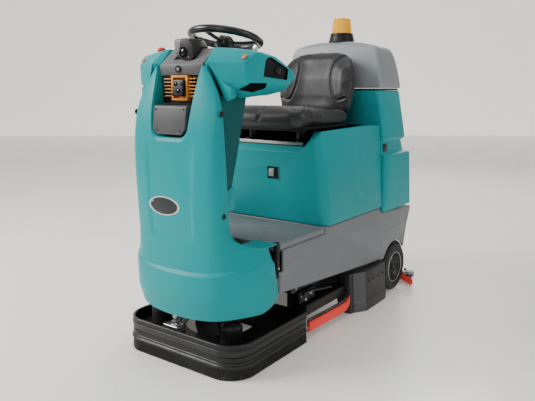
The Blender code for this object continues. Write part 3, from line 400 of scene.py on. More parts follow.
TEAL_RGB = (0.0, 0.285, 0.305)
M = {
    "teal": plastic("teal_shell_plastic", TEAL_RGB, 0.40, edge=0.12, scuff=0.10, coat=0.0, spec=0.20),
    # the teal plastic at 0.30 brightness: a painted-shade copy for the recessed inner parts
    "teal_in": plastic("teal_inner_plastic", shade(TEAL_RGB, 0.30), 0.5, edge=0.1, scuff=0.05, spec=0.2),
    "grey": plastic("grey_shell_plastic", srgb(112, 115, 119), 0.46, peel=0.2, scale=360.0),
    "lgrey": plastic("light_grey_plastic", srgb(132, 137, 141), 0.42),
    "dash": plastic("dash_grey_plastic", srgb(104, 104, 107), 0.42),
    "dgrey": plastic("dark_grey_plastic", srgb(70, 70, 73), 0.46),
    "black": plastic("black_moulded_plastic", (0.0065, 0.0065, 0.007), 0.42, edge=0.12, scuff=0.15, spec=0.32),
    "deck": plastic("deck_black_plastic", (0.008, 0.008, 0.009), 0.40, edge=0.2, scuff=0.4, spec=0.4),
    "gloss": plastic("gloss_black_window", (0.0015, 0.0015, 0.002), 0.30, peel=0.02, edge=0.0, scuff=0.02, spec=0.18),
    "rubber": rubber("black_rubber", (0.016, 0.016, 0.017)),
    "tyre": rubber("tyre_rubber", (0.020, 0.020, 0.021), 0.68),
    "vinyl": vinyl("seat_vinyl_grain", srgb(36, 36, 39)),
    "steel": metal("brushed_steel", (0.55, 0.56, 0.57)),
    "frame": painted("black_powder_coat", (0.008, 0.008, 0.009)),
    "orange": metal("orange_anodised_fins", srgb(222, 140, 50), 0.38, metallic=0.35),
    "marker": plastic("orange_marker", srgb(226, 120, 50), 0.3),
    "red": rubber("red_urethane", srgb(255, 60, 50), 0.42, 120.0),
    "redp": plastic("red_button_plastic", srgb(214, 24, 28), 0.25),
    "hub": plastic("hub_black", (0.020, 0.020, 0.021), 0.38, peel=0.1, edge=0.5, scuff=0.5),
    "bristle": rubber("nylon_bristle", (0.013, 0.013, 0.014), 0.5),
    "badge": plastic("badge_dark_blue", srgb(10, 22, 28), 0.3, peel=0.05, edge=0.1, scuff=0.1),
    "rim": plastic("badge_white_rim", (0.62, 0.63, 0.64), 0.3, peel=0.05, edge=0.1, scuff=0.1),
    "lens": plastic("camera_lens_glass", (0.003, 0.003, 0.005), 0.09, peel=0.01, edge=0.0, scuff=0.02),
    "wheel": plastic("soft_black_rim", (0.012, 0.012, 0.013), 0.30, peel=0.12, scale=700.0, edge=0.15),
    "skirt": plastic("skirt_grey_rubber", (0.020, 0.020, 0.021), 0.5, peel=0.25),
}


def amber():
    n = Nodes("amber_lens")
    z = n.new("ShaderNodeSeparateXYZ")
    n.link(n.co, z.inputs[0])
    band = n.math("FRACT", n.math("MULTIPLY", z.outputs["Z"], 210.0))
    base = n.mix(n.ramp(n.noise(9.0, 3.0), 0.35, 0.65), (0.90, 0.45, 0.0), (0.90, 0.39, 0.0))
    n.colour(base)
    n.link(n.span(n.noise(40.0, 3.0), 0.12, 0.22), n.b.inputs["Roughness"])
    n.bump(band, 0.12, 0.0006)
    # the faint emission is a painted glow that brightens the lens's colour
    n.set(Transmission_Weight=0.05, IOR=1.49, Emission_Strength=0.12)
    n.b.inputs["Emission Color"].default_value = (1.0, 0.58, 0.0, 1.0)
    return n.m


M["amber"] = amber()

floor_mesh = bpy.data.meshes.new("floor")
bm = bmesh.new()
bmesh.ops.create_circle(bm, cap_ends=True, segments=96, radius=60.0)
bm.to_mesh(floor_mesh)
bm.free()
floor = bpy.data.objects.new("floor", floor_mesh)
COL.objects.link(floor)
n = Nodes("pale_floor")
n.colour(n.mix(n.ramp(n.noise(1.3, 3.0), 0.3, 0.7), (0.86, 0.835, 0.79), (0.89, 0.87, 0.83)))
n.link(n.span(n.noise(3.0, 3.0), 0.26, 0.36), n.b.inputs["Roughness"])
n.b.inputs["Emission Color"].default_value = (0.95, 0.90, 0.82, 1.0)
n.set(Specular_IOR_Level=0.35, Emission_Strength=0.14)
floor_mesh.materials.append(n.m)
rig.stage(floor)


# a plain bright wall far behind the machine
wall_mesh = bpy.data.meshes.new("wall")
bm = bmesh.new()
view = Vector((-math.sin(math.radians(36.0)), math.cos(math.radians(36.0)), 0.0))
side = Vector((view.y, -view.x, 0.0))
far = Vector((1.6196, -2.4336, 0.0)) + view * 14.0
bm.faces.new([bm.verts.new(far + side * a + Vector((0, 0, z))) for a, z in ((-14, -0.4), (14, -0.4), (14, 9.0), (-14, 9.0))])
bm.to_mesh(wall_mesh)
bm.free()
wall = bpy.data.objects.new("wall", wall_mesh)
COL.objects.link(wall)
n = Nodes("bright_wall")
n.b.inputs["Base Color"].default_value = (0.85, 0.83, 0.78, 1.0)
n.b.inputs["Emission Color"].default_value = (0.95, 0.91, 0.84, 1.0)
n.set(Emission_Strength=0.95, Roughness=0.8)
wall_mesh.materials.append(n.m)
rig.stage(wall)


# ------------------------------------------------------------------ mesh helpers
def bake(o):
    """Applies the object's modifiers and returns it."""
    bpy.context.view_layer.update()
    dg = bpy.context.evaluated_depsgraph_get()
    me = bpy.data.meshes.new_from_object(o.evaluated_get(dg))
    old = o.data
    o.modifiers.clear()
    o.data = me
    me.name = o.name
    bpy.data.meshes.remove(old)
    return o


def smooth(o, angle=35):
    o.data.shade_smooth()
    o.data.set_sharp_from_angle(angle=math.radians(angle))
    return o


def obj(name, bm, mats=None):
    me = bpy.data.meshes.new(name)
    bm.to_mesh(me)
    bm.free()
    o = bpy.data.objects.new(name, me)
    COL.objects.link(o)
    for k in mats or ():
        me.materials.append(M[k])
    return o


def bevel(o, width, segs=3, angle=30, profile=0.5, limit="ANGLE"):
    b = o.modifiers.new("bevel", "BEVEL")
    b.width = width
    b.segments = segs
    b.limit_method = limit
    b.angle_limit = math.radians(angle)
    b.profile = profile
    b.use_clamp_overlap = True
    b.miter_outer = "MITER_ARC"
    return o


def subd(o, levels=2):
    s = o.modifiers.new("subd", "SUBSURF")
    s.levels = s.render_levels = levels
    return o


def boolean(o, cutter, op="DIFFERENCE"):
    m = o.modifiers.new("bool", "BOOLEAN")
    m.operation = op
    m.solver = "EXACT"
    m.object = cutter
    bake(o)
    bpy.data.objects.remove(cutter, do_unlink=True)
    return o


def place(o, body, slot, *replaced, angle=35):
    """Shades the piece, rides it on its body, names its finish and what it stands for."""
    if o.modifiers:
        bake(o)
    if angle:
        smooth(o, angle)
    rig.ride(o, body)
    if replaced:
        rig.replaces(o, *replaced)
    if slot:
        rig.slot(o, slot)
    return o


def cad_mesh(node):
    bm = bmesh.new()
    bm.from_mesh(NODES[node].data)
    bmesh.ops.remove_doubles(bm, verts=bm.verts, dist=2e-5)
    bmesh.ops.dissolve_limit(bm, angle_limit=math.radians(1.0), verts=bm.verts, edges=bm.edges)
    return bm


def fine(node, mat, slot, width=0.002, segs=2, angle=30, name=None):
    """The CAD node's own shape with small rounded edges."""
    o = obj(name or node + "_fine", cad_mesh(node), [mat])
    bevel(o, width, segs, angle)
    return place(o, NODES[node]["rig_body"], slot, node, angle=40)


def keep(node, mat):
    """The CAD node as it is, with a finished material."""
    me = NODES[node].data
    me.materials.clear()
    me.materials.append(M[mat])


def bm_box(x0, x1, y0, y1, z0, z1, bm=None):
    bm = bm or bmesh.new()
    bmesh.ops.create_cube(bm, size=1.0, matrix=Matrix.Translation(((x0 + x1) / 2, (y0 + y1) / 2, (z0 + z1) / 2))
                          @ Matrix.Diagonal((x1 - x0, y1 - y0, z1 - z0, 1.0)))
    return bm


def bm_cyl(r, p0, p1, segs=32, r2=None, bm=None):
    bm = bm or bmesh.new()
    a, b = Vector(p0), Vector(p1)
    d = b - a
    rot = Vector((0, 0, 1)).rotation_difference(d.normalized()).to_matrix().to_4x4()
    bmesh.ops.create_cone(bm, cap_ends=True, segments=segs, radius1=r, radius2=r if r2 is None else r2,
                          depth=d.length, matrix=Matrix.Translation((a + b) / 2) @ rot)
    return bm


def turned(profile, centre, axis=(0, 0, 1), segs=64, bm=None, closed=True):
    """Turns an (r, h) profile round an axis through centre."""
    bm = bm or bmesh.new()
    rot = Vector((0, 0, 1)).rotation_difference(Vector(axis).normalized()).to_matrix()
    c = Vector(centre)
    loops = []
    for r, h in profile:
        if r < 1e-6:
            loops.append([bm.verts.new(c + rot @ Vector((0, 0, h)))])
        else:
            loops.append([bm.verts.new(c + rot @ Vector((r * math.cos(2 * math.pi * k / segs), r * math.sin(2 * math.pi * k / segs), h)))
                          for k in range(segs)])
    pairs = list(zip(loops, loops[1:]))
    if closed and len(loops[0]) > 1 and len(loops[-1]) > 1:
        pairs.append((loops[-1], loops[0]))
    fs = []
    for a, b in pairs:
        for k in range(segs):
            j = (k + 1) % segs
            if len(a) == 1 and len(b) == 1:
                continue
            if len(a) == 1:
                fs.append(bm.faces.new((a[0], b[k], b[j])))
            elif len(b) == 1:
                fs.append(bm.faces.new((a[k], b[0], a[j])))
            else:
                fs.append(bm.faces.new((a[k], b[k], b[j], a[j])))
    bmesh.ops.recalc_face_normals(bm, faces=fs)
    return bm


def loft(rings, bm=None, caps=True):
    bm = bm or bmesh.new()
    rows = [[bm.verts.new(p) for p in r] for r in rings]
    fs = []
    m = len(rows[0])
    for a, b in zip(rows, rows[1:]):
        for i in range(m):
            j = (i + 1) % m
            fs.append(bm.faces.new((a[i], a[j], b[j], b[i])))
    if caps:
        fs.append(bm.faces.new(list(reversed(rows[0]))))
        fs.append(bm.faces.new(rows[-1]))
    bmesh.ops.recalc_face_normals(bm, faces=fs)
    return bm


def spline(pts, steps=8, closed=False):
    """Catmull-Rom through the points."""
    p = [Vector(q) for q in pts]
    n = len(p)
    out = []
    for i in range(n if closed else n - 1):
        a = p[(i - 1) % n] if closed or i > 0 else p[0] * 2 - p[1]
        b, c = p[i], p[(i + 1) % n]
        d = p[(i + 2) % n] if closed or i + 2 < n else p[-1] * 2 - p[-2]
        for k in range(steps):
            t = k / steps
            out.append(0.5 * ((2 * b) + (c - a) * t + (2 * a - 5 * b + 4 * c - d) * t * t + (3 * b - a - 3 * c + d) * t ** 3))
    if not closed:
        out.append(p[-1])
    return out


def tube(pts, r, segs=12, bm=None, closed=False, caps=True, steps=6):
    """A round tube along a smooth curve through the points."""
    bm = bm or bmesh.new()
    q = spline(pts, steps, closed)
    m = len(q)
    up = Vector((0.13, 0.27, 0.95))
    rings = []
    for i in range(m):
        t = (q[(i + 1) % m] - q[i - 1]) if closed or 0 < i < m - 1 else (q[1] - q[0] if i == 0 else q[-1] - q[-2])
        t.normalize()
        s = t.cross(up)
        if s.length < 1e-3:
            s = t.cross(Vector((1, 0, 0)))
        s.normalize()
        u = s.cross(t)
        rr = r(i / (m - 1)) if callable(r) else r
        rings.append([bm.verts.new(q[i] + (s * math.cos(2 * math.pi * k / segs) + u * math.sin(2 * math.pi * k / segs)) * rr) for k in range(segs)])
    fs = []
    for i in range(m if closed else m - 1):
        a, b = rings[i], rings[(i + 1) % m]
        for k in range(segs):
            j = (k + 1) % segs
            fs.append(bm.faces.new((a[k], a[j], b[j], b[k])))
    if caps and not closed:
        fs.append(bm.faces.new(list(reversed(rings[0]))))
        fs.append(bm.faces.new(rings[-1]))
    bmesh.ops.recalc_face_normals(bm, faces=fs)
    return bm


def prism(outline, lo, hi, axis="x", bm=None):
    """A closed (u, v) outline extruded along x (u=y, v=z), y (u=x, v=z) or z (u=x, v=y)."""
    f = {"x": lambda u, v, w: (w, u, v), "y": lambda u, v, w: (u, w, v), "z": lambda u, v, w: (u, v, w)}[axis]
    return loft([[f(u, v, lo) for u, v in outline], [f(u, v, hi) for u, v in outline]], bm)


def rounded_rect(x0, x1, y0, y1, radii, n=8):
    """Outline, counter-clockwise, own radius at (x1,y0), (x1,y1), (x0,y1), (x0,y0)."""
    pts = []
    corners = (((x1, y0), radii[0], -90), ((x1, y1), radii[1], 0), ((x0, y1), radii[2], 90), ((x0, y0), radii[3], 180))
    for (cx, cy), r, a0 in corners:
        ox, oy = cx + (-1 if cx == x1 else 1) * r, cy + (-1 if cy == y1 else 1) * r
        for k in range(n + 1):
            a = math.radians(a0 + 90.0 * k / n)
            pts.append((ox + r * math.cos(a), oy + r * math.sin(a)))
    return pts


def screw(name, centre, normal, r, body, mat="black", slot="black_plastic", h=0.004, socket=True):
    """A screw head or plug with a washer rim and a hex socket."""
    prof = [(0.0, h * 0.55), (r * 0.42, h * 0.55), (r * 0.46, h), (r * 0.74, h), (r * 0.92, h * 0.72), (r, h * 0.3), (r, -h * 0.5), (0.0, -h * 0.5)]
    if not socket:
        prof = [(0.0, h), (r * 0.5, h * 0.95), (r * 0.8, h * 0.75), (r, h * 0.2), (r, -h * 0.5), (0.0, -h * 0.5)]
    o = obj(name, turned(prof, centre, normal, 28, closed=False), [mat])
    return place(o, body, slot)


# ------------------------------------------------------------------ front shroud
def smoothstep(t):
    t = min(max(t, 0.0), 1.0)
    return t * t * (3 - 2 * t)


ROWS = [
    [(0, -0.838, 0.210), (0.110, -0.830, 0.213), (0.195, -0.810, 0.219), (0.245, -0.773, 0.226), (0.280, -0.733, 0.232),
     (0.305, -0.698, 0.235), (0.320, -0.672, 0.238), (0.329, -0.637, 0.252), (0.330, -0.600, 0.270)],
    [(0, -0.860, 0.297), (0.110, -0.853, 0.297), (0.200, -0.832, 0.297), (0.252, -0.790, 0.296), (0.292, -0.742, 0.292),
     (0.320, -0.700, 0.286), (0.333, -0.662, 0.281), (0.337, -0.630, 0.284), (0.336, -0.594, 0.298)],
    [(0, -0.859, 0.392), (0.110, -0.853, 0.393), (0.200, -0.833, 0.400), (0.252, -0.793, 0.409), (0.290, -0.750, 0.419),
     (0.317, -0.712, 0.426), (0.331, -0.680, 0.430), (0.337, -0.652, 0.432), (0.337, -0.622, 0.432)],
    [(0, -0.845, 0.408), (0.110, -0.840, 0.409), (0.200, -0.822, 0.416), (0.245, -0.786, 0.425), (0.281, -0.745, 0.434),
     (0.308, -0.707, 0.441), (0.324, -0.675, 0.446), (0.331, -0.655, 0.448), (0.331, -0.630, 0.448)],
    [(0, -0.842, 0.500), (0.110, -0.838, 0.500), (0.190, -0.822, 0.500), (0.225, -0.797, 0.502), (0.262, -0.757, 0.504),
     (0.293, -0.718, 0.504), (0.311, -0.688, 0.503), (0.320, -0.668, 0.502), (0.321, -0.645, 0.502)],
    [(0, -0.845, 0.556), (0.110, -0.840, 0.556), (0.180, -0.826, 0.556), (0.205, -0.814, 0.556), (0.217, -0.803, 0.554),
     (0.221, -0.793, 0.548), (0.222, -0.782, 0.534), (0.222, -0.768, 0.520), (0.222, -0.755, 0.510)],
    [(0, -0.853, 0.640), (0.100, -0.848, 0.640), (0.180, -0.832, 0.640), (0.206, -0.819, 0.640), (0.218, -0.807, 0.640),
     (0.222, -0.796, 0.640), (0.222, -0.784, 0.640), (0.222, -0.771, 0.640), (0.222, -0.757, 0.640)],
    [(0, -0.852, 0.800), (0.100, -0.848, 0.800), (0.180, -0.836, 0.800), (0.207, -0.825, 0.800), (0.219, -0.812, 0.800),
     (0.223, -0.800, 0.800), (0.223, -0.790, 0.800), (0.222, -0.779, 0.800), (0.221, -0.766, 0.800)],
    [(0, -0.842, 0.950), (0.100, -0.840, 0.950), (0.178, -0.833, 0.950), (0.205, -0.824, 0.950), (0.217, -0.812, 0.950),
     (0.221, -0.802, 0.950), (0.221, -0.793, 0.950), (0.220, -0.784, 0.950), (0.219, -0.774, 0.950)],
    [(0, -0.822, 1.050), (0.090, -0.820, 1.050), (0.160, -0.812, 1.050), (0.190, -0.803, 1.050), (0.206, -0.793, 1.050),
     (0.212, -0.786, 1.050), (0.212, -0.782, 1.050), (0.212, -0.778, 1.050), (0.211, -0.773, 1.050)],
    [(0, -0.803, 1.110), (0.080, -0.801, 1.110), (0.130, -0.796, 1.110), (0.155, -0.790, 1.110), (0.170, -0.781, 1.110),
     (0.176, -0.776, 1.110), (0.178, -0.773, 1.110), (0.178, -0.771, 1.110), (0.178, -0.769, 1.110)],
    [(0, -0.780, 1.180), (0.060, -0.779, 1.180), (0.100, -0.777, 1.180), (0.116, -0.775, 1.180), (0.125, -0.771, 1.180),
     (0.130, -0.768, 1.180), (0.132, -0.766, 1.180), (0.133, -0.764, 1.180), (0.133, -0.762, 1.180)],
]
bm = bmesh.new()
grid = []
for row in ROWS:
    grid.append([bm.verts.new((-x, y, z)) for x, y, z in reversed(row[1:])] + [bm.verts.new(p) for p in row])
for a, b in zip(grid, grid[1:]):
    for i in range(len(a) - 1):
        bm.faces.new((a[i], a[i + 1], b[i + 1], b[i]))
crease = bm.edges.layers.float.new("crease_edge")
for e in bm.edges:
    i0, i1 = (next(r for r, row in enumerate(grid) if v in row) for v in e.verts)
    cols = [abs((grid[i0] if v in grid[i0] else grid[i1]).index(v) - 8) for v in e.verts]
    if i0 == i1:
        e[crease] = {1: 0.96, 2: 0.93, 3: 0.80}.get(i0, 0.0)
        if i0 == 4 and min(cols) >= 4:
            e[crease] = 0.93
    elif min(i0, i1) >= 4 and cols == [4, 4]:
        e[crease] = 0.92
sh = obj("front_shroud_shell", bm, ["teal"])
subd(sh, 3)
sh.modifiers[-1].boundary_smooth = "PRESERVE_CORNERS"
bake(sh)


def field(x, z):
    """How deep the soft concave field of the front lies at (x, z), 0 to 1."""
    r = 0.050
    hx = 0.122 + 0.010 * smoothstep((z - 0.6) / 0.3)
    qx, qz = abs(x) - hx + r, abs(z - 0.720) - 0.212 + r
    d = math.hypot(max(qx, 0.0), max(qz, 0.0)) + min(max(qx, qz), 0.0) - r
    top = smoothstep((0.925 - z) / 0.08)
    return smoothstep(-d / 0.022) * top


for v in sh.data.vertices:
    if v.normal.y < -0.2:
        v.co.y += 0.0050 * field(v.co.x, v.co.z)
bm = bmesh.new()
bm.from_mesh(sh.data)

SKIN = BVHTree.FromBMesh(bm)
bm.free()


def skin(x, z, y0=-1.2):
    """Point and outward normal of the shroud's face in front of (x, z)."""
    p, nrm, _, _ = SKIN.ray_cast(Vector((x, y0, z)), Vector((0, 1, 0)))
    return (p, nrm if nrm.y < 0 else -nrm) if p is not None else (Vector((x, -0.78, z)), Vector((0, -1, 0)))


s = sh.modifiers.new("wall", "SOLIDIFY")
s.thickness = 0.005
s.offset = -1.0
s.use_even_offset = True
s.use_quality_normals = True
bake(sh)
BAY = [(0.055, 0.918), (0.076, 0.928), (0.090, 0.948), (0.100, 1.040), (0.104, 1.110), (0.110, 1.172)]
half = [BAY[0], (0.066, 0.9215), (0.076, 0.928), (0.0845, 0.937), (0.090, 0.948), (0.0935, 0.975), (0.097, 1.008), (0.100, 1.040), (0.102, 1.075), (0.104, 1.110), (0.107, 1.142), (0.110, 1.172)]


def wider(pts, low=0.016, side=0.005):
    """The bay's outline moved outwards: more at the bottom, little at the sides."""
    out = []
    for x, z in pts:
        k = smoothstep((0.955 - z) / 0.037)
        out.append((x + side * (1 if x > 0 else -1) * (0.4 + 0.6 * smoothstep(abs(x) / 0.06)), z - low * k))
    return out


u_in = [(-x, z) for x, z in reversed(half)] + half
u_out = wider(u_in)
cutter = obj("bay_cut", prism(u_out + [(0.135, 1.32), (-0.135, 1.32)], -0.93, -0.768, "y"))
boolean(sh, cutter)
place(sh, "chassis", "teal_shell", "front_shroud", angle=11)

bm = bmesh.new()
loops = []
for (xi, zi), (xo, zo) in zip(u_in, u_out):
    po, no = skin(xo, zo)
    pm, _ = skin((xi + 2 * xo) / 3, (zi + 2 * zo) / 3)
    pi, _ = skin(xi, zi)
    deep = 0.0075
    d = Vector((xi - xo, 0, zi - zo))
    loops.append([bm.verts.new(q) for q in (
        po + no * 0.0002, Vector((xo, po.y, zo)) + d * 0.22 + Vector((0, 0.0012, 0)), Vector((xo, po.y, zo)) + d * 0.85 + Vector((0, deep * 0.72, 0)),
        Vector((xi, pi.y + deep + 0.002, zi)), Vector((xi, -0.7575, zi)), Vector((xo, -0.7575, zo)) - d * 0.3, Vector((xo, po.y + 0.006, zo)) - d * 0.05)])
fs = []
for a, b in zip(loops, loops[1:]):
    for i in range(7):
        j = (i + 1) % 7
        fs.append(bm.faces.new((a[i], b[i], b[j], a[j])))
fs.append(bm.faces.new(loops[0]))
fs.append(bm.faces.new(list(reversed(loops[-1]))))
bmesh.ops.recalc_face_normals(bm, faces=fs)
place(obj("bay_rim", bm, ["teal"]), "chassis", "teal_shell", angle=50)

# flat shoulder behind the bumper's top edge, and the filler between the shroud's horn and the wing
for s in (1, -1):
    tag = "left" if s > 0 else "right"
    edge = [(0.222, -0.794), (0.2450, -0.7720), (0.2610, -0.7540), (0.2920, -0.7160), (0.3095, -0.6870), (0.3180, -0.6680), (0.3190, -0.6420), (0.3190, -0.5800), (0.2100, -0.5800), (0.2100, -0.7580)]
    sp = [(s * x, y) for x, y in edge]
    o = obj("shoulder_top_" + tag, prism(sp, 0.4950, 0.5000, "z"), ["teal"])
    bevel(o, 0.0012, 2)
    place(o, "chassis", "teal_shell")
    fil = [(0.1300, 1.1850), (0.1480, 1.1900), (0.1980, 1.1200), (0.2330, 1.1020), (0.2350, 1.0660), (0.2080, 1.0520), (0.1750, 1.1120)]
    o = obj("wing_root_" + tag, prism([(s * x, z) for x, z in fil], -0.7500, -0.7200, "y"), ["teal"])
    bevel(o, 0.0025, 3)
    place(o, "chassis", "teal_shell")

# screw plugs on the flanges of the shroud, and the oval badge
for s in (1, -1):
    for y, z in ((-0.790, 1.007), (-0.7835, 0.630)):
        screw(f"shroud_screw_{'left' if s > 0 else 'right'}_{int(z * 1000)}", (s * 0.2218, y, z), (s, 0, 0), 0.0115, "chassis", h=0.0022)
bx, bz, a1, a2 = -0.030, 0.6535, 0.084, 0.037


def badge_ring(k, lift):
    out = []
    for i in range(64):
        t = 2 * math.pi * i / 64
        x, z = bx + a1 * k * math.cos(t), bz + a2 * (k if k > 0.2 else k) * math.sin(t)
        p, nrm = skin(x, z)
        out.append(p + nrm * lift)
    return out


rim = loft([badge_ring(1.0, -0.001), badge_ring(1.0, 0.0016), badge_ring(0.985, 0.0026), badge_ring(0.90, 0.0026), badge_ring(0.885, 0.0016)])
place(obj("badge_rim", rim, ["rim"]), "chassis", "light_grey", angle=40)
bm = bmesh.new()
rings = [badge_ring(k, 0.0018) for k in (0.888, 0.6, 0.3)]
rows = [[bm.verts.new(p) for p in r] for r in [badge_ring(0.888, -0.0008)] + rings]
for a, b in zip(rows, rows[1:]):
    for i in range(64):
        bm.faces.new((a[i], a[(i + 1) % 64], b[(i + 1) % 64], b[i]))
bm.faces.new(rows[-1])
bm.faces.new(list(reversed(rows[0])))
bmesh.ops.recalc_face_normals(bm, faces=bm.faces)
place(obj("badge_face", bm, ["badge"]), "chassis", "gloss_black", angle=40)

# ------------------------------------------------------------------ inner column cover
rows = []
for z, yr, hx in ((0.4980, -0.7480, 0.2080), (0.560, -0.7420, 0.2080), (0.701, -0.7130, 0.2080), (0.868, -0.6620, 0.2060), (1.040, -0.6080, 0.2000), (1.072, -0.5980, 0.1980)):
    k = 0.004 if yr < -0.735 else 0.006
    m = 0.008 if yr < -0.735 else 0.022
    r = [(0, yr, z), (hx * 0.5, yr, z), (hx - 0.030, yr, z), (hx - 0.016, yr - k * 0.3, z), (hx - 0.008, yr - k, z), (hx - 0.002, yr - m * 0.7, z), (hx, yr - m, z), (hx, -0.7600, z)]
    rows.append([(-x, y, zz) for x, y, zz in reversed(r[1:])] + r)
bm = bmesh.new()
grid = [[bm.verts.new(p) for p in r] for r in rows]
for a, b in zip(grid, grid[1:]):
    for i in range(len(a) - 1):
        bm.faces.new((a[i], a[i + 1], b[i + 1], b[i]))
# the cover is the teal plastic darkened as painted shade
cc = obj("column_cover_shell", bm, ["teal_in"])
s = cc.modifiers.new("wall", "SOLIDIFY")
s.thickness = 0.004
s.offset = 1.0
s.use_even_offset = True
bevel(cc, 0.0012, 2, 40)
place(cc, "chassis", "teal_inner", "column_cover", angle=35)
# light triangular service panel low on the cover's left side
tri = [(-0.7535, 0.716), (-0.7200, 0.736), (-0.7085, 0.728), (-0.7060, 0.646), (-0.7465, 0.640)]
for s in (1, -1):
    o = obj("service_panel_" + ("left" if s > 0 else "right"), prism(tri, min(s * 0.2082, s * 0.2105), max(s * 0.2082, s * 0.2105), "x"), ["teal"])
    bevel(o, 0.0012, 2)
    place(o, "chassis", "teal_shell")

# ------------------------------------------------------------------ console with the two wings
SEC = [
    (0.000, [(-0.738, 1.075), (-0.752, 1.180), (-0.688, 1.238), (-0.600, 1.240), (-0.500, 1.200), (-0.480, 1.120), (-0.520, 1.075), (-0.620, 1.060)]),
    (0.112, [(-0.738, 1.075), (-0.752, 1.180), (-0.688, 1.238), (-0.600, 1.240), (-0.500, 1.200), (-0.480, 1.120), (-0.520, 1.075), (-0.620, 1.060)]),
    (0.116, [(-0.738, 1.100), (-0.756, 1.190), (-0.700, 1.250), (-0.600, 1.252), (-0.500, 1.208), (-0.478, 1.125), (-0.520, 1.072), (-0.640, 1.058)]),
    (0.142, [(-0.745, 1.185), (-0.775, 1.193), (-0.706, 1.248), (-0.600, 1.250), (-0.500, 1.206), (-0.476, 1.127), (-0.520, 1.070), (-0.650, 1.058)]),
    (0.190, [(-0.748, 1.112), (-0.752, 1.190), (-0.697, 1.242), (-0.600, 1.244), (-0.500, 1.200), (-0.475, 1.128), (-0.520, 1.070), (-0.655, 1.060)]),
    (0.230, [(-0.730, 1.100), (-0.735, 1.190), (-0.688, 1.237), (-0.600, 1.238), (-0.500, 1.195), (-0.475, 1.129), (-0.520, 1.073), (-0.660, 1.068)]),
    (0.290, [(-0.707, 1.122), (-0.712, 1.190), (-0.674, 1.229), (-0.600, 1.227), (-0.503, 1.187), (-0.475, 1.132), (-0.520, 1.085), (-0.665, 1.095)]),
    (0.325, [(-0.695, 1.137), (-0.699, 1.190), (-0.664, 1.220), (-0.600, 1.212), (-0.510, 1.174), (-0.484, 1.138), (-0.520, 1.104), (-0.660, 1.120)]),
    (0.347, [(-0.683, 1.152), (-0.686, 1.188), (-0.656, 1.206), (-0.600, 1.198), (-0.520, 1.163), (-0.500, 1.142), (-0.528, 1.122), (-0.650, 1.140)]),
]
full = [(-x, p) for x, p in reversed(SEC[1:])] + SEC
con = obj("console_shell", loft([[(x, y, z) for y, z in p] for x, p in full]), ["teal", "gloss"])
STEER_C = Vector((0.0, -0.4956, 1.300))
STEER_TILT = math.radians(11.8)
STEER_N = Vector((0.0, math.sin(STEER_TILT), math.cos(STEER_TILT)))
END_A, END_B = Vector((0.268, -0.730, 0.0)), Vector((0.352, -0.545, 0.0))
END_D = (END_B - END_A).normalized()
END_N = Vector((END_D.y, -END_D.x, 0.0))
PANE = [(0.089, 1.1410), (0.098, 1.1970), (0.106, 1.2080), (0.122, 1.2105), (0.197, 1.1680), (0.189, 1.1290)]


def end_point(s, along, z, deep=0.0):
    """A point on the slanted end of a wing; deep goes into the wing."""
    p = END_A + END_D * along - END_N * deep
    return Vector((s * p.x, p.y, z))


def end_prism(s, pts, d0, d1, mat=0):
    b = loft([[end_point(s, a, z, d0) for a, z in pts], [end_point(s, a, z, d1) for a, z in pts]])
    for f in b.faces:
        f.material_index = mat
    return b


for s in (1, -1):
    boolean(con, obj("w", end_prism(s, [(-0.20, 1.0), (0.40, 1.0), (0.40, 1.4), (-0.20, 1.4)], -0.20, 0.0), ["teal", "gloss"]))
bevel(con, 0.0040, 3, 24)
bake(con)
for s in (1, -1):
    boolean(con, obj("w", end_prism(s, PANE, -0.05, 0.0140, 1), ["teal", "gloss"]))
    under = [(0.236, -0.712), (0.284, -0.702), (0.318, -0.640), (0.300, -0.634), (0.262, -0.668)]
    wb = prism([(s * x, y) for x, y in under], 1.02, 1.1180, "z")
    for f in wb.faces:
        f.material_index = 1
    boolean(con, obj("w", wb, ["teal", "gloss"]))
boolean(con, obj("w", bm_cyl(0.0330, STEER_C - STEER_N * 0.215, STEER_C, 48)))
boolean(con, obj("w", bm_box(-0.0555, 0.0555, -0.80, -0.652, 1.195, 1.30)))
boolean(con, obj("w", bm_cyl(0.0135, (-0.225, -0.640, 1.200), (-0.225, -0.640, 1.28), 32)))
boolean(con, obj("w", bm_cyl(0.0080, (0.200, -0.560, 1.190), (0.200, -0.560, 1.28), 24)))
place(con, "chassis", "teal_shell", "console_housing", angle=20)

# camera in each end window: dark barrel and lens, and the pane's thin seal
for s, tag in ((1, "left"), (-1, "right")):
    nrm = Vector((s * END_N.x, END_N.y, 0.0))
    seal = loft([[end_point(s, a, z, d) for a, z in PANE] for d in (0.0125, 0.0105)])
    o = obj("window_pane_" + tag, seal, ["gloss"])
    place(o, "chassis", "gloss_black", "camera_" + tag)
    cpt = end_point(s, 0.160, 1.1640, 0.0120)
    ring = turned([(0.0, 0.0060), (0.0105, 0.0060), (0.0120, 0.0085), (0.0155, 0.0085), (0.0168, 0.0065), (0.0168, -0.004), (0.0, -0.004)], cpt, nrm, 40, closed=False)
    place(obj("side_camera_" + tag, ring, ["black"]), "chassis", "black_plastic", angle=40)
    lens = turned([(0.0, 0.0032), (0.004, 0.0029), (0.0075, 0.0018), (0.0098, 0.0), (0.0098, -0.002), (0.0, -0.002)], cpt + nrm * 0.0062, nrm, 32, closed=False)
    place(obj("side_camera_lens_" + tag, lens, ["lens"]), "chassis", "gloss_black", angle=40)
    m = turned([(0.0, 0.0030), (0.0060, 0.0028), (0.0085, 0.0018), (0.0095, 0.0), (0.0095, -0.002), (0.0, -0.002)],
               (s * 0.2630, -0.7085, 1.2118), (0.0, -0.72, 0.69), 32, closed=False)
    place(obj("wing_marker_" + tag, m, ["marker"]), "chassis", "orange_metal", angle=40)

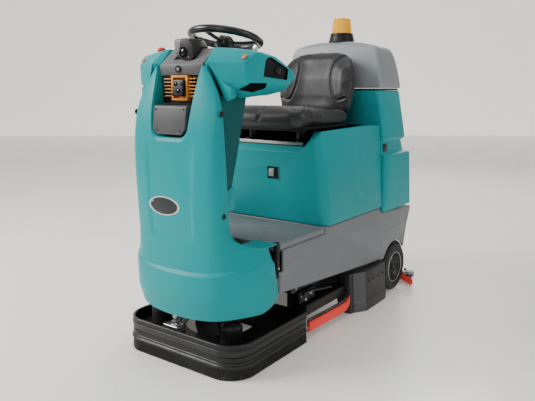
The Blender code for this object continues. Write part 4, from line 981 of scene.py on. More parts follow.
# ------------------------------------------------------------------ dash panel
prof = [(-0.7650, 1.1485), (-0.7560, 1.1485), (-0.7560, 1.1810), (-0.6905, 1.2400), (-0.6560, 1.2406), (-0.6560, 1.2470), (-0.6930, 1.2475), (-0.7590, 1.1925), (-0.7650, 1.1870)]
d = obj("dash_shell", prism(prof, -0.1075, 0.1120, "x"), ["dash", "dgrey"])
bevel(d, 0.0016, 3, 20)
bake(d)
boolean(d, obj("w", bm_box(-0.0560, 0.0560, -0.742, -0.60, 1.1950, 1.30)))
place(d, "chassis", "light_grey", "dash_panel", angle=30)
low = obj("dash_low_strip", prism([(-0.097, 1.1510), (0.094, 1.1510), (0.106, 1.1865), (-0.104, 1.1865)], -0.7668, -0.7640, "y"), ["dgrey"])
bevel(low, 0.0010, 2)
place(low, "chassis", "dark_grey")
bt = turned([(0.0, 0.0035), (0.0060, 0.0035), (0.0066, 0.0028), (0.0066, 0.0015), (0.0072, 0.0015), (0.0075, 0.0062), (0.0120, 0.0062), (0.0138, 0.0045), (0.0138, -0.001), (0.0, -0.001)],
            (-0.008, -0.7668, 1.1705), (0, -1, 0), 40, closed=False)
place(obj("dash_boss", bt, ["black"]), "chassis", "black_plastic", angle=40)
place(obj("dash_boss_cap", turned([(0.0, 0.0052), (0.0045, 0.0050), (0.0062, 0.0040), (0.0064, 0.0), (0.0, 0.0)], (-0.008, -0.7668, 1.1705), (0, -1, 0), 32, closed=False), ["lgrey"]),
      "chassis", "light_grey", angle=40)

# ------------------------------------------------------------------ scanner on the dash
tb = [(-0.7390, 1.2360), (-0.7390, 1.2790), (-0.7340, 1.2850), (-0.6600, 1.2850), (-0.6550, 1.2800), (-0.6550, 1.1960), (-0.7000, 1.1960)]
t = obj("scanner_box", prism(tb, -0.0545, 0.0190, "x"), ["dash"])
bevel(t, 0.0030, 3, 25)
bake(t)
place(t, "chassis", "light_grey", "scanner_turret", angle=35)
hd = [(-0.010, 1.2840), (0.014, 1.2850), (0.0330, 1.2820), (0.0530, 1.2540), (0.0560, 1.2150), (0.0420, 1.2010), (0.0180, 1.1990), (-0.006, 1.2060), (-0.018, 1.2200), (-0.018, 1.2560)]
h = obj("scanner_nose", prism(hd, -0.7500, -0.6620, "y"), ["black"])
bevel(h, 0.0032, 3, 25)
bake(h)
boolean(h, obj("w", bm_box(-0.030, 0.0197, -0.7395, -0.60, 1.15, 1.30)))
place(h, "chassis", "black_plastic", "scanner_head", angle=40)
lens = turned([(0.0, 0.0060), (0.006, 0.0056), (0.0115, 0.0035), (0.0135, 0.0), (0.0150, 0.0), (0.0155, 0.0028), (0.0195, 0.0028), (0.0205, 0.0), (0.0205, -0.003), (0.0, -0.003)],
              (0.003, -0.7500, 1.2330), (0, -1, 0), 48, closed=False)
place(obj("scanner_lens", lens, ["lens"]), "chassis", "gloss_black", angle=35)
place(obj("scanner_dot", turned([(0.0, 0.0018), (0.0022, 0.0015), (0.0030, 0.0), (0.0030, -0.001), (0.0, -0.001)], (0.0300, -0.7500, 1.2150), (0, -1, 0), 20, closed=False), ["lgrey"]),
      "chassis", "light_grey")
kn = turned([(0.0, 0.020), (0.0050, 0.020), (0.0072, 0.0175), (0.0078, 0.004), (0.0100, 0.001), (0.0100, -0.002), (0.0, -0.002)], (-0.0760, -0.6850, 1.2470), (0, 0, 1), 28, closed=False)
place(obj("dash_knob", kn, ["black"]), "chassis", "black_plastic", angle=40)
for i, x in enumerate((0.060, 0.078, 0.096)):
    b = turned([(0.0, 0.0024), (0.0042, 0.0022), (0.0052, 0.0012), (0.0054, -0.001), (0.0, -0.001)], (x, -0.6720, 1.2470), (0, 0, 1), 24, closed=False)
    place(obj("dash_button_%d" % i, b, ["black"]), "chassis", "black_plastic", angle=40)

# ------------------------------------------------------------------ sensor bay: fins, frame, camera, cover
bm = bm_box(-0.030, 0.0435, -0.7600, -0.7557, 1.0500, 1.1460)
for k in range(6):
    z = 1.0705 + 0.0128 * k
    bm_box(-0.0800, -0.0380, -0.7740, -0.7555, z - 0.0016, z + 0.0016, bm)
    bm_box(0.0430, 0.0850, -0.7740, -0.7555, z - 0.0016, z + 0.0016, bm)
bm_box(-0.0385, -0.0300, -0.7760, -0.7556, 1.0560, 1.1450, bm)
bm_box(0.0380, 0.0470, -0.7790, -0.7556, 1.0560, 1.1450, bm)
bm_box(-0.0360, 0.0440, -0.7800, -0.7557, 1.1390, 1.1465, bm)
bm_box(-0.0360, 0.0440, -0.7800, -0.7557, 1.0540, 1.0610, bm)
g = obj("heat_sink", bm, ["orange"])
bevel(g, 0.0007, 2, 40)
place(g, "chassis", "orange_metal", "sensor_grille", angle=35)
cm = bm_box(-0.026, 0.030, -0.012, 0.012, -0.031, 0.031)
bmesh.ops.transform(cm, matrix=Matrix.Translation((0.006, -0.7800, 1.1000)) @ Matrix.Rotation(math.radians(-9), 4, "X"), verts=cm.verts)
cm = obj("depth_camera", cm, ["black"])
bevel(cm, 0.0050, 4)
bake(cm)
place(cm, "chassis", "black_plastic", "sensor_camera", angle=35)
q = Matrix.Rotation(math.radians(-9), 3, "X")
for i, (x, z, r) in enumerate(((-0.008, 0.014, 0.0085), (0.020, 0.014, 0.0062), (0.006, -0.012, 0.0100))):
    c = Vector((0.006, -0.7800, 1.1000)) + q @ Vector((x, -0.012, z))
    ln = turned([(0.0, 0.0022), (r * 0.5, 0.0018), (r * 0.82, 0.0003), (r * 0.86, 0.0026), (r, 0.0026), (r, -0.001), (0.0, -0.001)], c, q @ Vector((0, -1, 0)), 32, closed=False)
    place(obj("depth_lens_%d" % i, ln, ["lens"]), "chassis", "gloss_black", angle=35)
keep("sensor_bay", "black")
cp = [(-0.8205, 1.0370), (-0.8275, 1.0300), (-0.8400, 0.9350), (-0.8365, 0.9275), (-0.7560, 0.9275), (-0.7560, 1.0370)]
c = obj("bay_cover", prism(cp, -0.0845, 0.0845, "x"), ["dgrey"])
for s in (1, -1):
    boolean(c, obj("w", prism([(s * 0.0600, 0.90), (s * 0.0600, 0.9240), (s * 0.0850, 0.9520), (s * 0.2, 0.9520), (s * 0.2, 0.90)], -0.9, -0.7, "y")))
bevel(c, 0.0030, 3, 25)
bake(c)
gr = [(-0.0250, 0.9520), (0.0540, 0.9520), (0.0600, 0.9560), (0.0600, 1.0060), (0.0540, 1.0100), (-0.0250, 1.0100), (-0.0300, 1.0060), (-0.0300, 0.9560)]
place(c, "chassis", "dark_grey", "sensor_cover", angle=35)
for i, (x, z) in enumerate(((-0.072, 1.022), (0.072, 1.022), (-0.060, 0.944), (0.060, 0.944))):
    yy = -0.8280 - (1.0300 - z) * 0.1316
    screw("cover_screw_%d" % i, (x, yy, z), (0, -0.991, 0.130), 0.0042, "chassis", h=0.0012)
# clips that hold the shroud's upper edge to the console
for s in (1, -1):
    o = obj("shroud_clip_" + ("left" if s > 0 else "right"), bm_box(min(s * 0.112, s * 0.124), max(s * 0.112, s * 0.124), -0.7760, -0.7560, 1.1460, 1.1560), ["black"])
    bevel(o, 0.0014, 2)
    place(o, "chassis", "black_plastic")

# ------------------------------------------------------------------ steering wheel, column, buttons
RT = Matrix.Rotation(-STEER_TILT, 3, "X")
bm = bmesh.new()
N1, N2 = 96, 20
rows = []
for i in range(N1):
    a = 2 * math.pi * i / N1
    row = []
    for k in range(N2):
        b = 2 * math.pi * k / N2
        rr = 0.0150 + (0.0006 if math.cos(b) < -0.2 and (i % 4) < 2 else 0.0)
        r = 0.1420 + rr * math.cos(b)
        row.append(bm.verts.new(STEER_C + RT @ Vector((r * math.cos(a), r * math.sin(a), rr * math.sin(b)))))
    rows.append(row)
for i in range(N1):
    for k in range(N2):
        a, b = rows[i], rows[(i + 1) % N1]
        bm.faces.new((a[k], b[k], b[(k + 1) % N2], a[(k + 1) % N2]))
bmesh.ops.recalc_face_normals(bm, faces=bm.faces)
place(obj("wheel_rim", bm, ["wheel"]), "steering", "black_plastic", "steering_wheel", angle=70)
hubp = [(0.0, 0.0100), (0.010, 0.0094), (0.022, 0.0070), (0.031, 0.0020), (0.0355, -0.0050), (0.0375, -0.0120), (0.0370, -0.0300), (0.030, -0.0420), (0.0180, -0.0520), (0.0150, -0.0560), (0.0, -0.0560)]
place(obj("wheel_hub_cap", turned(hubp, STEER_C, STEER_N, 64, closed=False), ["wheel"]), "steering", "black_plastic", angle=50)
place(obj("wheel_cap_ring", turned([(0.0265, 0.0052), (0.0278, 0.0058), (0.0290, 0.0046), (0.0278, 0.0030)], STEER_C, STEER_N, 64), ["gloss"]), "steering", "black_plastic", angle=50)
for k, ang in enumerate((30, 150, 270)):
    a = math.radians(ang)
    d = RT @ Vector((math.cos(a), math.sin(a), 0.0))
    side = RT @ Vector((-math.sin(a), math.cos(a), 0.0))
    rings = []
    for t, w, th, lift in ((0.022, 0.0180, 0.0075, -0.014), (0.045, 0.0150, 0.0070, -0.0155), (0.080, 0.0125, 0.0064, -0.011), (0.115, 0.0128, 0.0066, -0.0050), (0.138, 0.0160, 0.0080, -0.0005)):
        rings.append([STEER_C + d * t + side * (w * math.cos(2 * math.pi * j / 20)) + STEER_N * (lift + th * math.sin(2 * math.pi * j / 20)) for j in range(20)])
    rings2 = []
    for i in range(len(rings) - 1):
        for j in range(3):
            rings2.append([a1.lerp(b1, j / 3) for a1, b1 in zip(rings[i], rings[i + 1])])
    rings2.append(rings[-1])
    place(obj("wheel_spoke_%d" % k, loft(rings2), ["wheel"]), "steering", "black_plastic", angle=50)
colp = [(0.0, -0.0600), (0.0215, -0.0605), (0.0250, -0.0640), (0.0262, -0.0800), (0.0300, -0.0900), (0.0308, -0.1100), (0.0308, -0.1748), (0.0, -0.1748)]
bm = turned([(r, h) for r, h in colp], STEER_C, STEER_N, 56, closed=False)
place(obj("column_sleeve", bm, ["black"]), "chassis", "black_plastic", "steering_column", angle=40)
for i, hh in enumerate((-0.0980, -0.1040, -0.1100)):
    place(obj("column_rib_%d" % i, turned([(0.0300, hh + 0.0016), (0.0318, hh + 0.0008), (0.0318, hh - 0.0008), (0.0300, hh - 0.0016)], STEER_C, STEER_N, 56), ["rubber"]),
          "chassis", "black_rubber", angle=40)
ec = (-0.225, -0.640, 1.2350)
es = [(0.0, 0.0305), (0.005, 0.0303), (0.0110, 0.0290), (0.0155, 0.0262), (0.0176, 0.0220), (0.0178, 0.0185), (0.0170, 0.0140), (0.0150, 0.0125), (0.0112, 0.0120), (0.0112, -0.0190), (0.0, -0.0190)]
place(obj("stop_button", turned(es, ec, (0, 0, 1), 56, closed=False), ["redp"]), "estop", "red_plastic", "estop_button", angle=40)
ky = turned([(0.0, 0.0060), (0.0085, 0.0060), (0.0100, 0.0045), (0.0100, 0.0), (0.0066, -0.0002), (0.0066, -0.0290), (0.0, -0.0290)], (0.200, -0.560, 1.2335), (0, 0, 1), 32, closed=False)
place(obj("key_switch", ky, ["black"]), "key", "black_plastic", "ignition_key", angle=40)
kb = obj("key_bow", prism([(0.1925, 1.2380), (0.2075, 1.2380), (0.2110, 1.2470), (0.2085, 1.2580), (0.2000, 1.2625), (0.1915, 1.2580), (0.1890, 1.2470)], -0.5622, -0.5578, "y"), ["steel"])
bevel(kb, 0.0008, 2)
place(kb, "key", "steel")


# ------------------------------------------------------------------ solution tank, the box under the seat
def tank_ring(z, y0, y1, hx, rf, rr, n=10, bow=0.0):
    pts = rounded_rect(-hx, hx, y0, y1, (rf, rr, rr, rf), n)
    return [(x, y - (bow * (1 - (x / hx) ** 2) if y < (y0 + y1) / 2 else 0.0), z) for x, y in pts]


def between(rings, k=4):
    """More rings between the given ones, straight from one to the next."""
    out = []
    for a, b in zip(rings, rings[1:]):
        out += [[tuple(Vector(p).lerp(Vector(q), j / k)) for p, q in zip(a, b)] for j in range(k)]
    return out + [rings[-1]]


tk = obj("solution_tank_body", loft([
    tank_ring(0.4940, -0.2000, 0.355, 0.3200, 0.046, 0.006), tank_ring(0.4965, -0.2035, 0.358, 0.3220, 0.048, 0.006), tank_ring(0.5020, -0.2060, 0.360, 0.3230, 0.050, 0.006),
    tank_ring(0.600, -0.2120, 0.360, 0.3178, 0.050, 0.006), tank_ring(0.700, -0.2180, 0.360, 0.3120, 0.050, 0.006),
    tank_ring(0.800, -0.2260, 0.360, 0.3040, 0.050, 0.006), tank_ring(0.915, -0.2350, 0.360, 0.2950, 0.050, 0.006)]), ["teal"])
boolean(tk, obj("w", prism([(-0.2010, 0.8215), (0.346, 0.8215), (0.346, 1.0), (-0.2010, 1.0)], -0.2240, 0.2240, "x")))
boolean(tk, obj("w", prism([(-0.30, 0.8160), (-0.2290, 0.8160), (-0.2050, 0.8440), (-0.2000, 0.8440), (-0.2000, 1.0), (-0.30, 1.0)], -0.2120, 0.2120, "x")))
for s in (1, -1):
    nose = [Vector((s * x, y, z)) for x, y, z in ((0.2050, -0.2300, 0.8300), (0.2180, -0.1500, 0.9160), (0.2970, -0.2050, 0.9160))]
    out = (nose[1] - nose[0]).cross(nose[2] - nose[0]).normalized() * s
    if out.z < 0:
        out = -out
    mid = (nose[0] + nose[1] + nose[2]) / 3
    sa = (nose[2] - nose[1]).normalized()
    sb = out.cross(sa)
    wb = bmesh.new()
    bmesh.ops.create_cube(wb, size=1.0, matrix=Matrix.Translation(mid + out * 0.10) @ Matrix((sa, sb, out)).transposed().to_4x4() @ Matrix.Diagonal((0.30, 0.30, 0.20, 1.0)))
    wd = obj("w1", wb)
    boolean(wd, obj("w2", bm_box(min(s * 0.2045, s * 0.34), max(s * 0.2045, s * 0.34), -0.30, -0.140, 0.80, 1.00)), "INTERSECT")
    boolean(tk, wd)
boolean(tk, obj("w", bm_box(-0.236, 0.236, -0.150, 0.320, 0.48, 0.84)))
boolean(tk, obj("w", bm_box(0.010, 0.076, -0.30, -0.2050, 0.688, 0.747)))
bm = bmesh.new()
bm.from_mesh(tk.data)
bmesh.ops.remove_doubles(bm, verts=bm.verts, dist=1e-5)
bmesh.ops.dissolve_limit(bm, angle_limit=math.radians(0.6), verts=bm.verts, edges=bm.edges)
bm.to_mesh(tk.data)
bm.free()
bevel(tk, 0.0055, 4, 28)
place(tk, "chassis", "teal_shell", "solution_tank", angle=32)
# seat box latch in its pocket: grey lever, a black box as painted shade in the hole, lit rim
rimp = rounded_rect(0.0060, 0.0800, 0.6840, 0.7510, (0.006, 0.006, 0.006, 0.006), 6)
rimi = rounded_rect(0.0105, 0.0755, 0.6885, 0.7465, (0.004, 0.004, 0.004, 0.004), 6)


def tank_face(z):
    return -0.2180 - (z - 0.700) * 0.0786


bm = bmesh.new()
loops = []
for pts, dy in ((rimp, 0.0002), (rimp, -0.0016), (rimi, -0.0022), (rimi, 0.0100)):
    loops.append([bm.verts.new((x, tank_face(z) + dy, z)) for x, z in pts])
for a, b in zip(loops, loops[1:] + loops[:1]):
    for i in range(len(a)):
        j = (i + 1) % len(a)
        bm.faces.new((a[i], a[j], b[j], b[i]))
bmesh.ops.recalc_face_normals(bm, faces=bm.faces)
place(obj("latch_pocket_rim", bm, ["teal"]), "chassis", "teal_shell", angle=40)
# black box in the pocket's hole: painted shade
b = obj("latch_pocket_liner", bm_box(0.0110, 0.0750, -0.2085, -0.2052, 0.6895, 0.7455), ["black"])
place(b, "chassis", "black_plastic")
lv = obj("latch_lever", prism([(-0.2190, 0.6990), (-0.2100, 0.6985), (-0.2090, 0.7370), (-0.2150, 0.7372), (-0.2190, 0.7300)], 0.0160, 0.0440, "x"), ["lgrey"])
bevel(lv, 0.0020, 3)
place(lv, "seat_latch", "light_grey", "seat_latch")

# ------------------------------------------------------------------ recovery tank with its grip groove
rt = obj("recovery_tank_body", loft([
    tank_ring(0.4660, 0.3650, 0.7430, 0.3310, 0.014, 0.050), tank_ring(0.6000, 0.3650, 0.7245, 0.3325, 0.014, 0.050), tank_ring(0.7530, 0.3650, 0.7002, 0.3340, 0.014, 0.050),
    tank_ring(0.7600, 0.3650, 0.6960, 0.3320, 0.014, 0.048), tank_ring(0.7645, 0.3650, 0.6800, 0.3240, 0.014, 0.044), tank_ring(0.7690, 0.3650, 0.6460, 0.3140, 0.014, 0.040),
    tank_ring(0.7740, 0.3650, 0.6420, 0.3126, 0.014, 0.040), tank_ring(0.8240, 0.3650, 0.6300, 0.3072, 0.014, 0.040), tank_ring(0.8300, 0.3650, 0.6330, 0.3086, 0.014, 0.042),
    tank_ring(0.8380, 0.3650, 0.6560, 0.3165, 0.014, 0.048), tank_ring(0.8430, 0.3650, 0.6610, 0.3187, 0.014, 0.050), tank_ring(0.8520, 0.3650, 0.6605, 0.3184, 0.014, 0.050),
    tank_ring(0.9150, 0.3650, 0.6500, 0.3120, 0.016, 0.050), tank_ring(1.0000, 0.3630, 0.6410, 0.2996, 0.020, 0.050), tank_ring(1.0820, 0.3602, 0.6325, 0.2878, 0.028, 0.050),
    tank_ring(1.0870, 0.3620, 0.6300, 0.2855, 0.027, 0.048)]), ["teal"])
boolean(rt, obj("w", bm_box(-0.240, 0.240, 0.400, 0.590, 0.600, 1.20)))
place(rt, "chassis", "teal_shell", "recovery_tank", angle=30)
# the shelf is the teal plastic darkened as painted shade
sh2 = obj("fan_shelf_plate", bm_box(-0.2398, 0.2398, 0.4002, 0.5898, 0.8400, 0.8560), ["teal_in"])
boolean(sh2, obj("w", bm_box(-0.205, -0.105, 0.430, 0.560, 0.80, 0.90)))
bevel(sh2, 0.0010, 2)
place(sh2, "chassis", "teal_inner")
for s in (1, -1):
    tag = "left" if s > 0 else "right"
    # grip pocket in the groove, near the front: a black box as painted shade in the recess
    pk = obj("grip_pocket_" + tag, bm_box(min(s * 0.3100, s * 0.3145), max(s * 0.3100, s * 0.3145), 0.3720, 0.4180, 0.7790, 0.8180), ["black"])
    bevel(pk, 0.0020, 2)
    place(pk, "chassis", "black_plastic")
    # moulded rib down the front edge of the tank's side
    rb = obj("tank_rib_" + tag, loft([[(s * (hx + o), y, z) for o, y in ((-0.004, 0.3860), (0.0026, 0.3885), (0.0026, 0.3935), (-0.004, 0.3960))] for z, hx in ((0.4900, 0.3312), (0.6000, 0.3325), (0.7480, 0.3339))]), ["teal"])
    bevel(rb, 0.0010, 2)
    place(rb, "chassis", "teal_shell")
fine("hood_gasket", "rubber", "black_rubber", 0.0008, 2)

# ------------------------------------------------------------------ hood
def hood_ring(z, yc, ys, y1, hx, r, n=8, m=12):
    pts = rounded_rect(-hx, hx, ys, y1, (r, r * 1.6, r * 1.6, r), n)
    inner = hx - r
    return [(x, y, z) for x, y in pts] + [(x, ys + (yc - ys) * (1 - (x / inner) ** 2), z) for x in [-inner + 2 * inner * (k + 1) / m for k in range(m - 1)]]


hr = [hood_ring(1.1000, 0.3600, 0.3800, 0.6320, 0.2860, 0.014), hood_ring(1.1250, 0.3606, 0.3798, 0.6295, 0.2825, 0.013), hood_ring(1.1900, 0.3640, 0.3800, 0.6200, 0.2720, 0.013),
      hood_ring(1.2550, 0.3700, 0.3810, 0.6000, 0.2610, 0.014), hood_ring(1.2800, 0.3735, 0.3823, 0.5830, 0.2560, 0.016), hood_ring(1.2960, 0.3770, 0.3845, 0.5690, 0.2500, 0.020),
      hood_ring(1.3080, 0.3800, 0.3870, 0.5570, 0.2400, 0.028), hood_ring(1.3170, 0.3825, 0.3900, 0.5460, 0.2240, 0.036), hood_ring(1.3250, 0.3855, 0.3930, 0.5350, 0.1980, 0.040),
      hood_ring(1.3320, 0.3890, 0.3960, 0.5240, 0.1600, 0.040), hood_ring(1.3370, 0.3940, 0.4000, 0.5130, 0.1180, 0.040), hood_ring(1.3390, 0.4050, 0.4100, 0.4980, 0.0700, 0.030)]
bm = bmesh.new()
rows = [[bm.verts.new(p) for p in r] for r in hr]
for a, b in zip(rows, rows[1:]):
    for i in range(len(a)):
        j = (i + 1) % len(a)
        bm.faces.new((a[i], a[j], b[j], b[i]))
bm.faces.new(rows[-1])
bmesh.ops.recalc_face_normals(bm, faces=bm.faces)
hd = obj("hood_shell", bm, ["lgrey"])
s = hd.modifiers.new("wall", "SOLIDIFY")
s.thickness = 0.004
s.offset = -1.0
s.use_even_offset = True
place(hd, "hood", "light_grey", "tank_hood", angle=30)

BX, BY = 0.012, 0.452
bp = [(0.0, 0.0448), (0.0570, 0.0448), (0.0590, 0.0435), (0.0600, 0.0400), (0.0610, 0.0345), (0.0602, 0.0330), (0.0602, 0.0310), (0.0622, 0.0298), (0.0650, 0.0160), (0.0680, 0.0070), (0.0690, 0.0040), (0.0690, 0.0), (0.0, 0.0)]
place(obj("beacon_foot", turned(bp, (BX, BY, 1.3398), (0, 0, 1), 72, closed=False), ["black"]), "hood", "black_plastic", "beacon_base", angle=35)
lp = [(0.0, 0.0782), (0.0360, 0.0780), (0.0430, 0.0760), (0.0475, 0.0722)]
for k in range(11):
    z = 0.0690 - 0.0060 * k
    r = 0.0482 + (0.0552 - 0.0482) * (1 - (z / 0.069))
    lp += [(r, z), (r - 0.0009, z - 0.0022), (r - 0.0009, z - 0.0034), (r + 0.0001, z - 0.0052)]
lp += [(0.0553, 0.0025), (0.0553, 0.0002), (0.0, 0.0002)]
place(obj("beacon_dome", turned(lp, (BX, BY, 1.3853), (0, 0, 1), 80, closed=False), ["amber"]), "hood", "yellow_lens", "beacon_lens", angle=28)

# ------------------------------------------------------------------ padded seat
def puff(o, pressure, cap, pin, frames=16, size=0.0065):
    """Fills the pad like foam under its cover: remeshed evenly, blown up by cloth, its travel capped."""
    if QUICK:
        frames, size = 5, 0.012
    r = o.modifiers.new("even", "REMESH")
    r.mode = "VOXEL"
    r.voxel_size = size
    bake(o)
    o.data.shade_smooth()
    base = [v.co.copy() for v in o.data.vertices]
    vg = o.vertex_groups.new(name="pin")
    for v in o.data.vertices:
        w = pin(v.co)
        if w > 0:
            vg.add([v.index], w, "REPLACE")
    c = o.modifiers.new("fill", "CLOTH")
    st = c.settings
    st.quality = 4
    st.mass = 0.4
    st.tension_stiffness = st.compression_stiffness = 18
    st.shear_stiffness = 9
    st.bending_stiffness = 4
    st.air_damping = 3
    st.use_pressure = True
    st.uniform_pressure_force = pressure
    st.vertex_group_mass = "pin"
    st.effector_weights.gravity = 0.0
    c.collision_settings.use_collision = False
    c.collision_settings.use_self_collision = False
    c.point_cache.frame_start, c.point_cache.frame_end = 1, frames
    for f in range(1, frames + 1):
        SCENE.frame_set(f)
    bake(o)
    SCENE.frame_set(1)
    for v, b in zip(o.data.vertices, base):
        d = v.co - b
        if d.length > cap:
            v.co = b + d.normalized() * cap
    for g in list(o.vertex_groups):
        o.vertex_groups.remove(g)
    sm = o.modifiers.new("even", "SMOOTH")
    sm.factor, sm.iterations = 0.5, 6
    bake(o)
    subd(o, 1)
    bake(o)
    return o


def seg_dist(p, a, b):
    ab, ap = b - a, p - a
    t = max(0.0, min(1.0, ap.dot(ab) / max(ab.length_squared, 1e-12)))
    return (p - (a + ab * t)).length


def groove(o, lines, width, depth, look, keep=lambda v: True, lip=0.25):
    """Presses stitched grooves along polylines, measured in the plane that look() picks."""
    o.data.update()
    for v in o.data.vertices:
        if not keep(v):
            continue
        p = look(v.co)
        d = min(seg_dist(p, a, b) for ln in lines for a, b in zip(ln, ln[1:]))
        if d < width * 3:
            t = d / width
            k = math.exp(-t * t) - lip * math.exp(-((t - 1.7) ** 2) * 3)
            v.co -= v.normal * depth * k
    return o


def seat_ring(y, z0, z1, hx, r, n=6):
    return [(x, y, z) for x, z in rounded_rect(-hx, hx, z0, z1, (r, r, r, r), n)]


cu = obj("seat_cushion_pad", loft([seat_ring(0.1940, 0.9350, 0.9700, 0.196, 0.016), seat_ring(0.150, 0.9340, 0.9900, 0.222, 0.024), seat_ring(0.0, 0.9340, 0.9910, 0.233, 0.027),
                                   seat_ring(-0.100, 0.9340, 1.0020, 0.234, 0.030), seat_ring(-0.175, 0.9345, 1.0120, 0.229, 0.034), seat_ring(-0.205, 0.9240, 1.0150, 0.224, 0.036), seat_ring(-0.238, 0.9220, 1.0110, 0.213, 0.036),
                                   seat_ring(-0.265, 0.9290, 0.9980, 0.192, 0.030), seat_ring(-0.277, 0.9420, 0.9820, 0.172, 0.018)]), ["vinyl"])
puff(cu, 4.0, 0.0085, lambda p: 1.0 if p.z < 0.9375 and p.y > -0.24 else 0.0)
for v in cu.data.vertices:
    x, y, z = v.co
    if z > 0.955:
        t = smoothstep((z - 0.955) / 0.03)
        dish = (1 - smoothstep((abs(x) - 0.06) / 0.13)) * smoothstep((y + 0.205) / 0.16)
        v.co.z -= 0.0150 * dish * t
        v.co.z += 0.0060 * smoothstep((abs(x) - 0.15) / 0.05) * smoothstep((0.06 - abs(y + 0.02)) / 0.12 + 0.5) * t
P2 = lambda x, y: Vector((x, y, 0))
top = lambda v: v.normal.z > 0.2
groove(cu, [[P2(s * 0.150, 0.19), P2(s * 0.146, 0.05), P2(s * 0.152, -0.09), P2(s * 0.176, -0.175), P2(s * 0.214, -0.212)] for s in (1, -1)], 0.0052, 0.0042, lambda c: Vector((c.x, c.y, 0)), top)
for v in cu.data.vertices:
    x, y, z = v.co
    if y < -0.17 and z > 0.945:
        k = math.exp(-(x / 0.010) ** 2) * smoothstep((-0.17 - y) / 0.05) * smoothstep((z - 0.945) / 0.03)
        v.co.y += 0.0085 * k
        v.co.z -= 0.0030 * k
place(cu, "seat", "seat_vinyl", "seat_cushion", angle=60)
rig.padded(cu, fill=0.9)


def back_ring(z, y0, y1, hx, r, n=6):
    return [(x * (1.0 - 0.22 * (y - y0) / (y1 - y0)), y, z) for x, y in rounded_rect(-hx, hx, y0, y1, (r, r, r, r), n)]


bk = obj("seat_back_pad", loft([back_ring(0.9450, 0.2080, 0.238, 0.168, 0.010), back_ring(0.9750, 0.2030, 0.260, 0.196, 0.018), back_ring(1.0040, 0.1900, 0.274, 0.214, 0.026),
                                back_ring(1.060, 0.187, 0.288, 0.222, 0.030), back_ring(1.150, 0.199, 0.304, 0.222, 0.030), back_ring(1.205, 0.219, 0.318, 0.212, 0.029),
                                back_ring(1.245, 0.243, 0.328, 0.184, 0.026), back_ring(1.268, 0.258, 0.324, 0.140, 0.020), back_ring(1.277, 0.268, 0.316, 0.092, 0.014)]), ["vinyl"])
puff(bk, 4.0, 0.0085, lambda p: 1.0 if p.y > 0.30 and 1.02 < p.z < 1.16 else 0.0)
for v in bk.data.vertices:
    x, y, z = v.co
    if v.normal.y < -0.1:
        hollow = (1 - smoothstep((abs(x) - 0.05) / 0.08)) * smoothstep((z - 0.98) / 0.08) * smoothstep((1.262 - z) / 0.06)
        v.co.y += 0.0110 * hollow
        v.co.y -= 0.0080 * smoothstep((abs(x) - 0.115) / 0.05) * smoothstep((z - 1.02) / 0.05) * smoothstep((1.245 - z) / 0.06)
lines = []
for s in (1, -1):
    q = spline([(s * 0.160, 1.272, 0), (s * 0.128, 1.250, 0), (s * 0.103, 1.223, 0), (s * 0.096, 1.170, 0), (s * 0.104, 1.110, 0), (s * 0.128, 1.052, 0), (s * 0.152, 1.040, 0), (s * 0.186, 1.052, 0)], 6)
    lines.append(q)
groove(bk, lines, 0.0058, 0.0062, lambda c: Vector((c.x, c.z, 0)), lambda v: v.normal.y < -0.15)
place(bk, "seat", "seat_vinyl", "seat_back", angle=60)
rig.padded(bk, fill=0.9)
# hard shell edge behind the back, seat pan and bracket
fine("seat_pan", "black", "black_plastic", 0.0030, 3)
for s in (1, -1):
    br = obj("back_arm_" + ("left" if s > 0 else "right"), prism([(0.2100, 0.9320), (0.2300, 0.9325), (0.3000, 1.1700), (0.2960, 1.2000), (0.2860, 1.2000), (0.2750, 1.1700)], min(s * 0.148, s * 0.156), max(s * 0.148, s * 0.156), "x"), ["frame"])
    bevel(br, 0.0016, 2)
    place(br, "seat", "black_plastic")
    for k, yy in enumerate((-0.150, 0.130)):
        place(obj("seat_leg_%s_%d" % ("left" if s > 0 else "right", k), bm_cyl(0.0095, (s * 0.135, yy, 0.8700), (s * 0.135, yy, 0.9090), 24), ["frame"]), "seat", "black_plastic")
fine("seat_deck", "black", "black_plastic", 0.0016, 2)
bar = obj("deck_front_bar", bm_box(-0.1895, 0.1895, -0.2000, -0.1800, 0.8485, 0.8612), ["steel"])
bevel(bar, 0.0016, 3)
place(bar, "seat_deck", "steel")


# ------------------------------------------------------------------ lower body, lid and draw latch
fine("chassis_shell", "grey", "grey_shell", 0.0045, 3, 28)
fine("foot_platform", "grey", "grey_shell", 0.0028, 3, 28)
fine("chassis_frame", "frame", "frame_steel", 0.0012, 2)
fine("battery_pack", "black", "black_plastic", 0.0030, 2)
keep("vacuum_fan", "black")
fine("hose_elbow", "black", "black_plastic", 0.0008, 1)
# anti-slip ribs on the lid
for k in range(9):
    x = -0.200 + 0.050 * k
    rib = obj("platform_rib_%d" % k, prism(rounded_rect(x - 0.0035, x + 0.0035, -0.330, -0.235, (0.003,) * 4, 4), 0.4912, 0.4920, "z"), ["grey"])
    place(rib, "platform", "grey_shell")
lp = bm_box(0.3015, 0.3185, -0.5775, -0.5605, 0.3860, 0.4970)
for k in range(6):
    z = 0.4080 + 0.0130 * k
    bm_box(0.3150, 0.3205, -0.5795, -0.5620, z, z + 0.0052, lp)
lt = obj("draw_latch", lp, ["rubber"])
bevel(lt, 0.0016, 2)
place(lt, "platform_latch", "black_rubber", "platform_latch", angle=40)
place(obj("draw_latch_pin", bm_cyl(0.0042, (0.3000, -0.5690, 0.3950), (0.3215, -0.5690, 0.3950), 20), ["steel"]), "platform_latch", "steel")
hk = obj("draw_latch_keeper", bm_box(0.3010, 0.3180, -0.5740, -0.5600, 0.4975, 0.5010), ["black"])
bevel(hk, 0.0010, 2)
place(hk, "platform_latch", "black_plastic")

for node, width in (("accelerator_pedal", 0.0016), ("brake_pedal", 0.0016)):
    fine(node, "rubber", "black_rubber", width, 2)


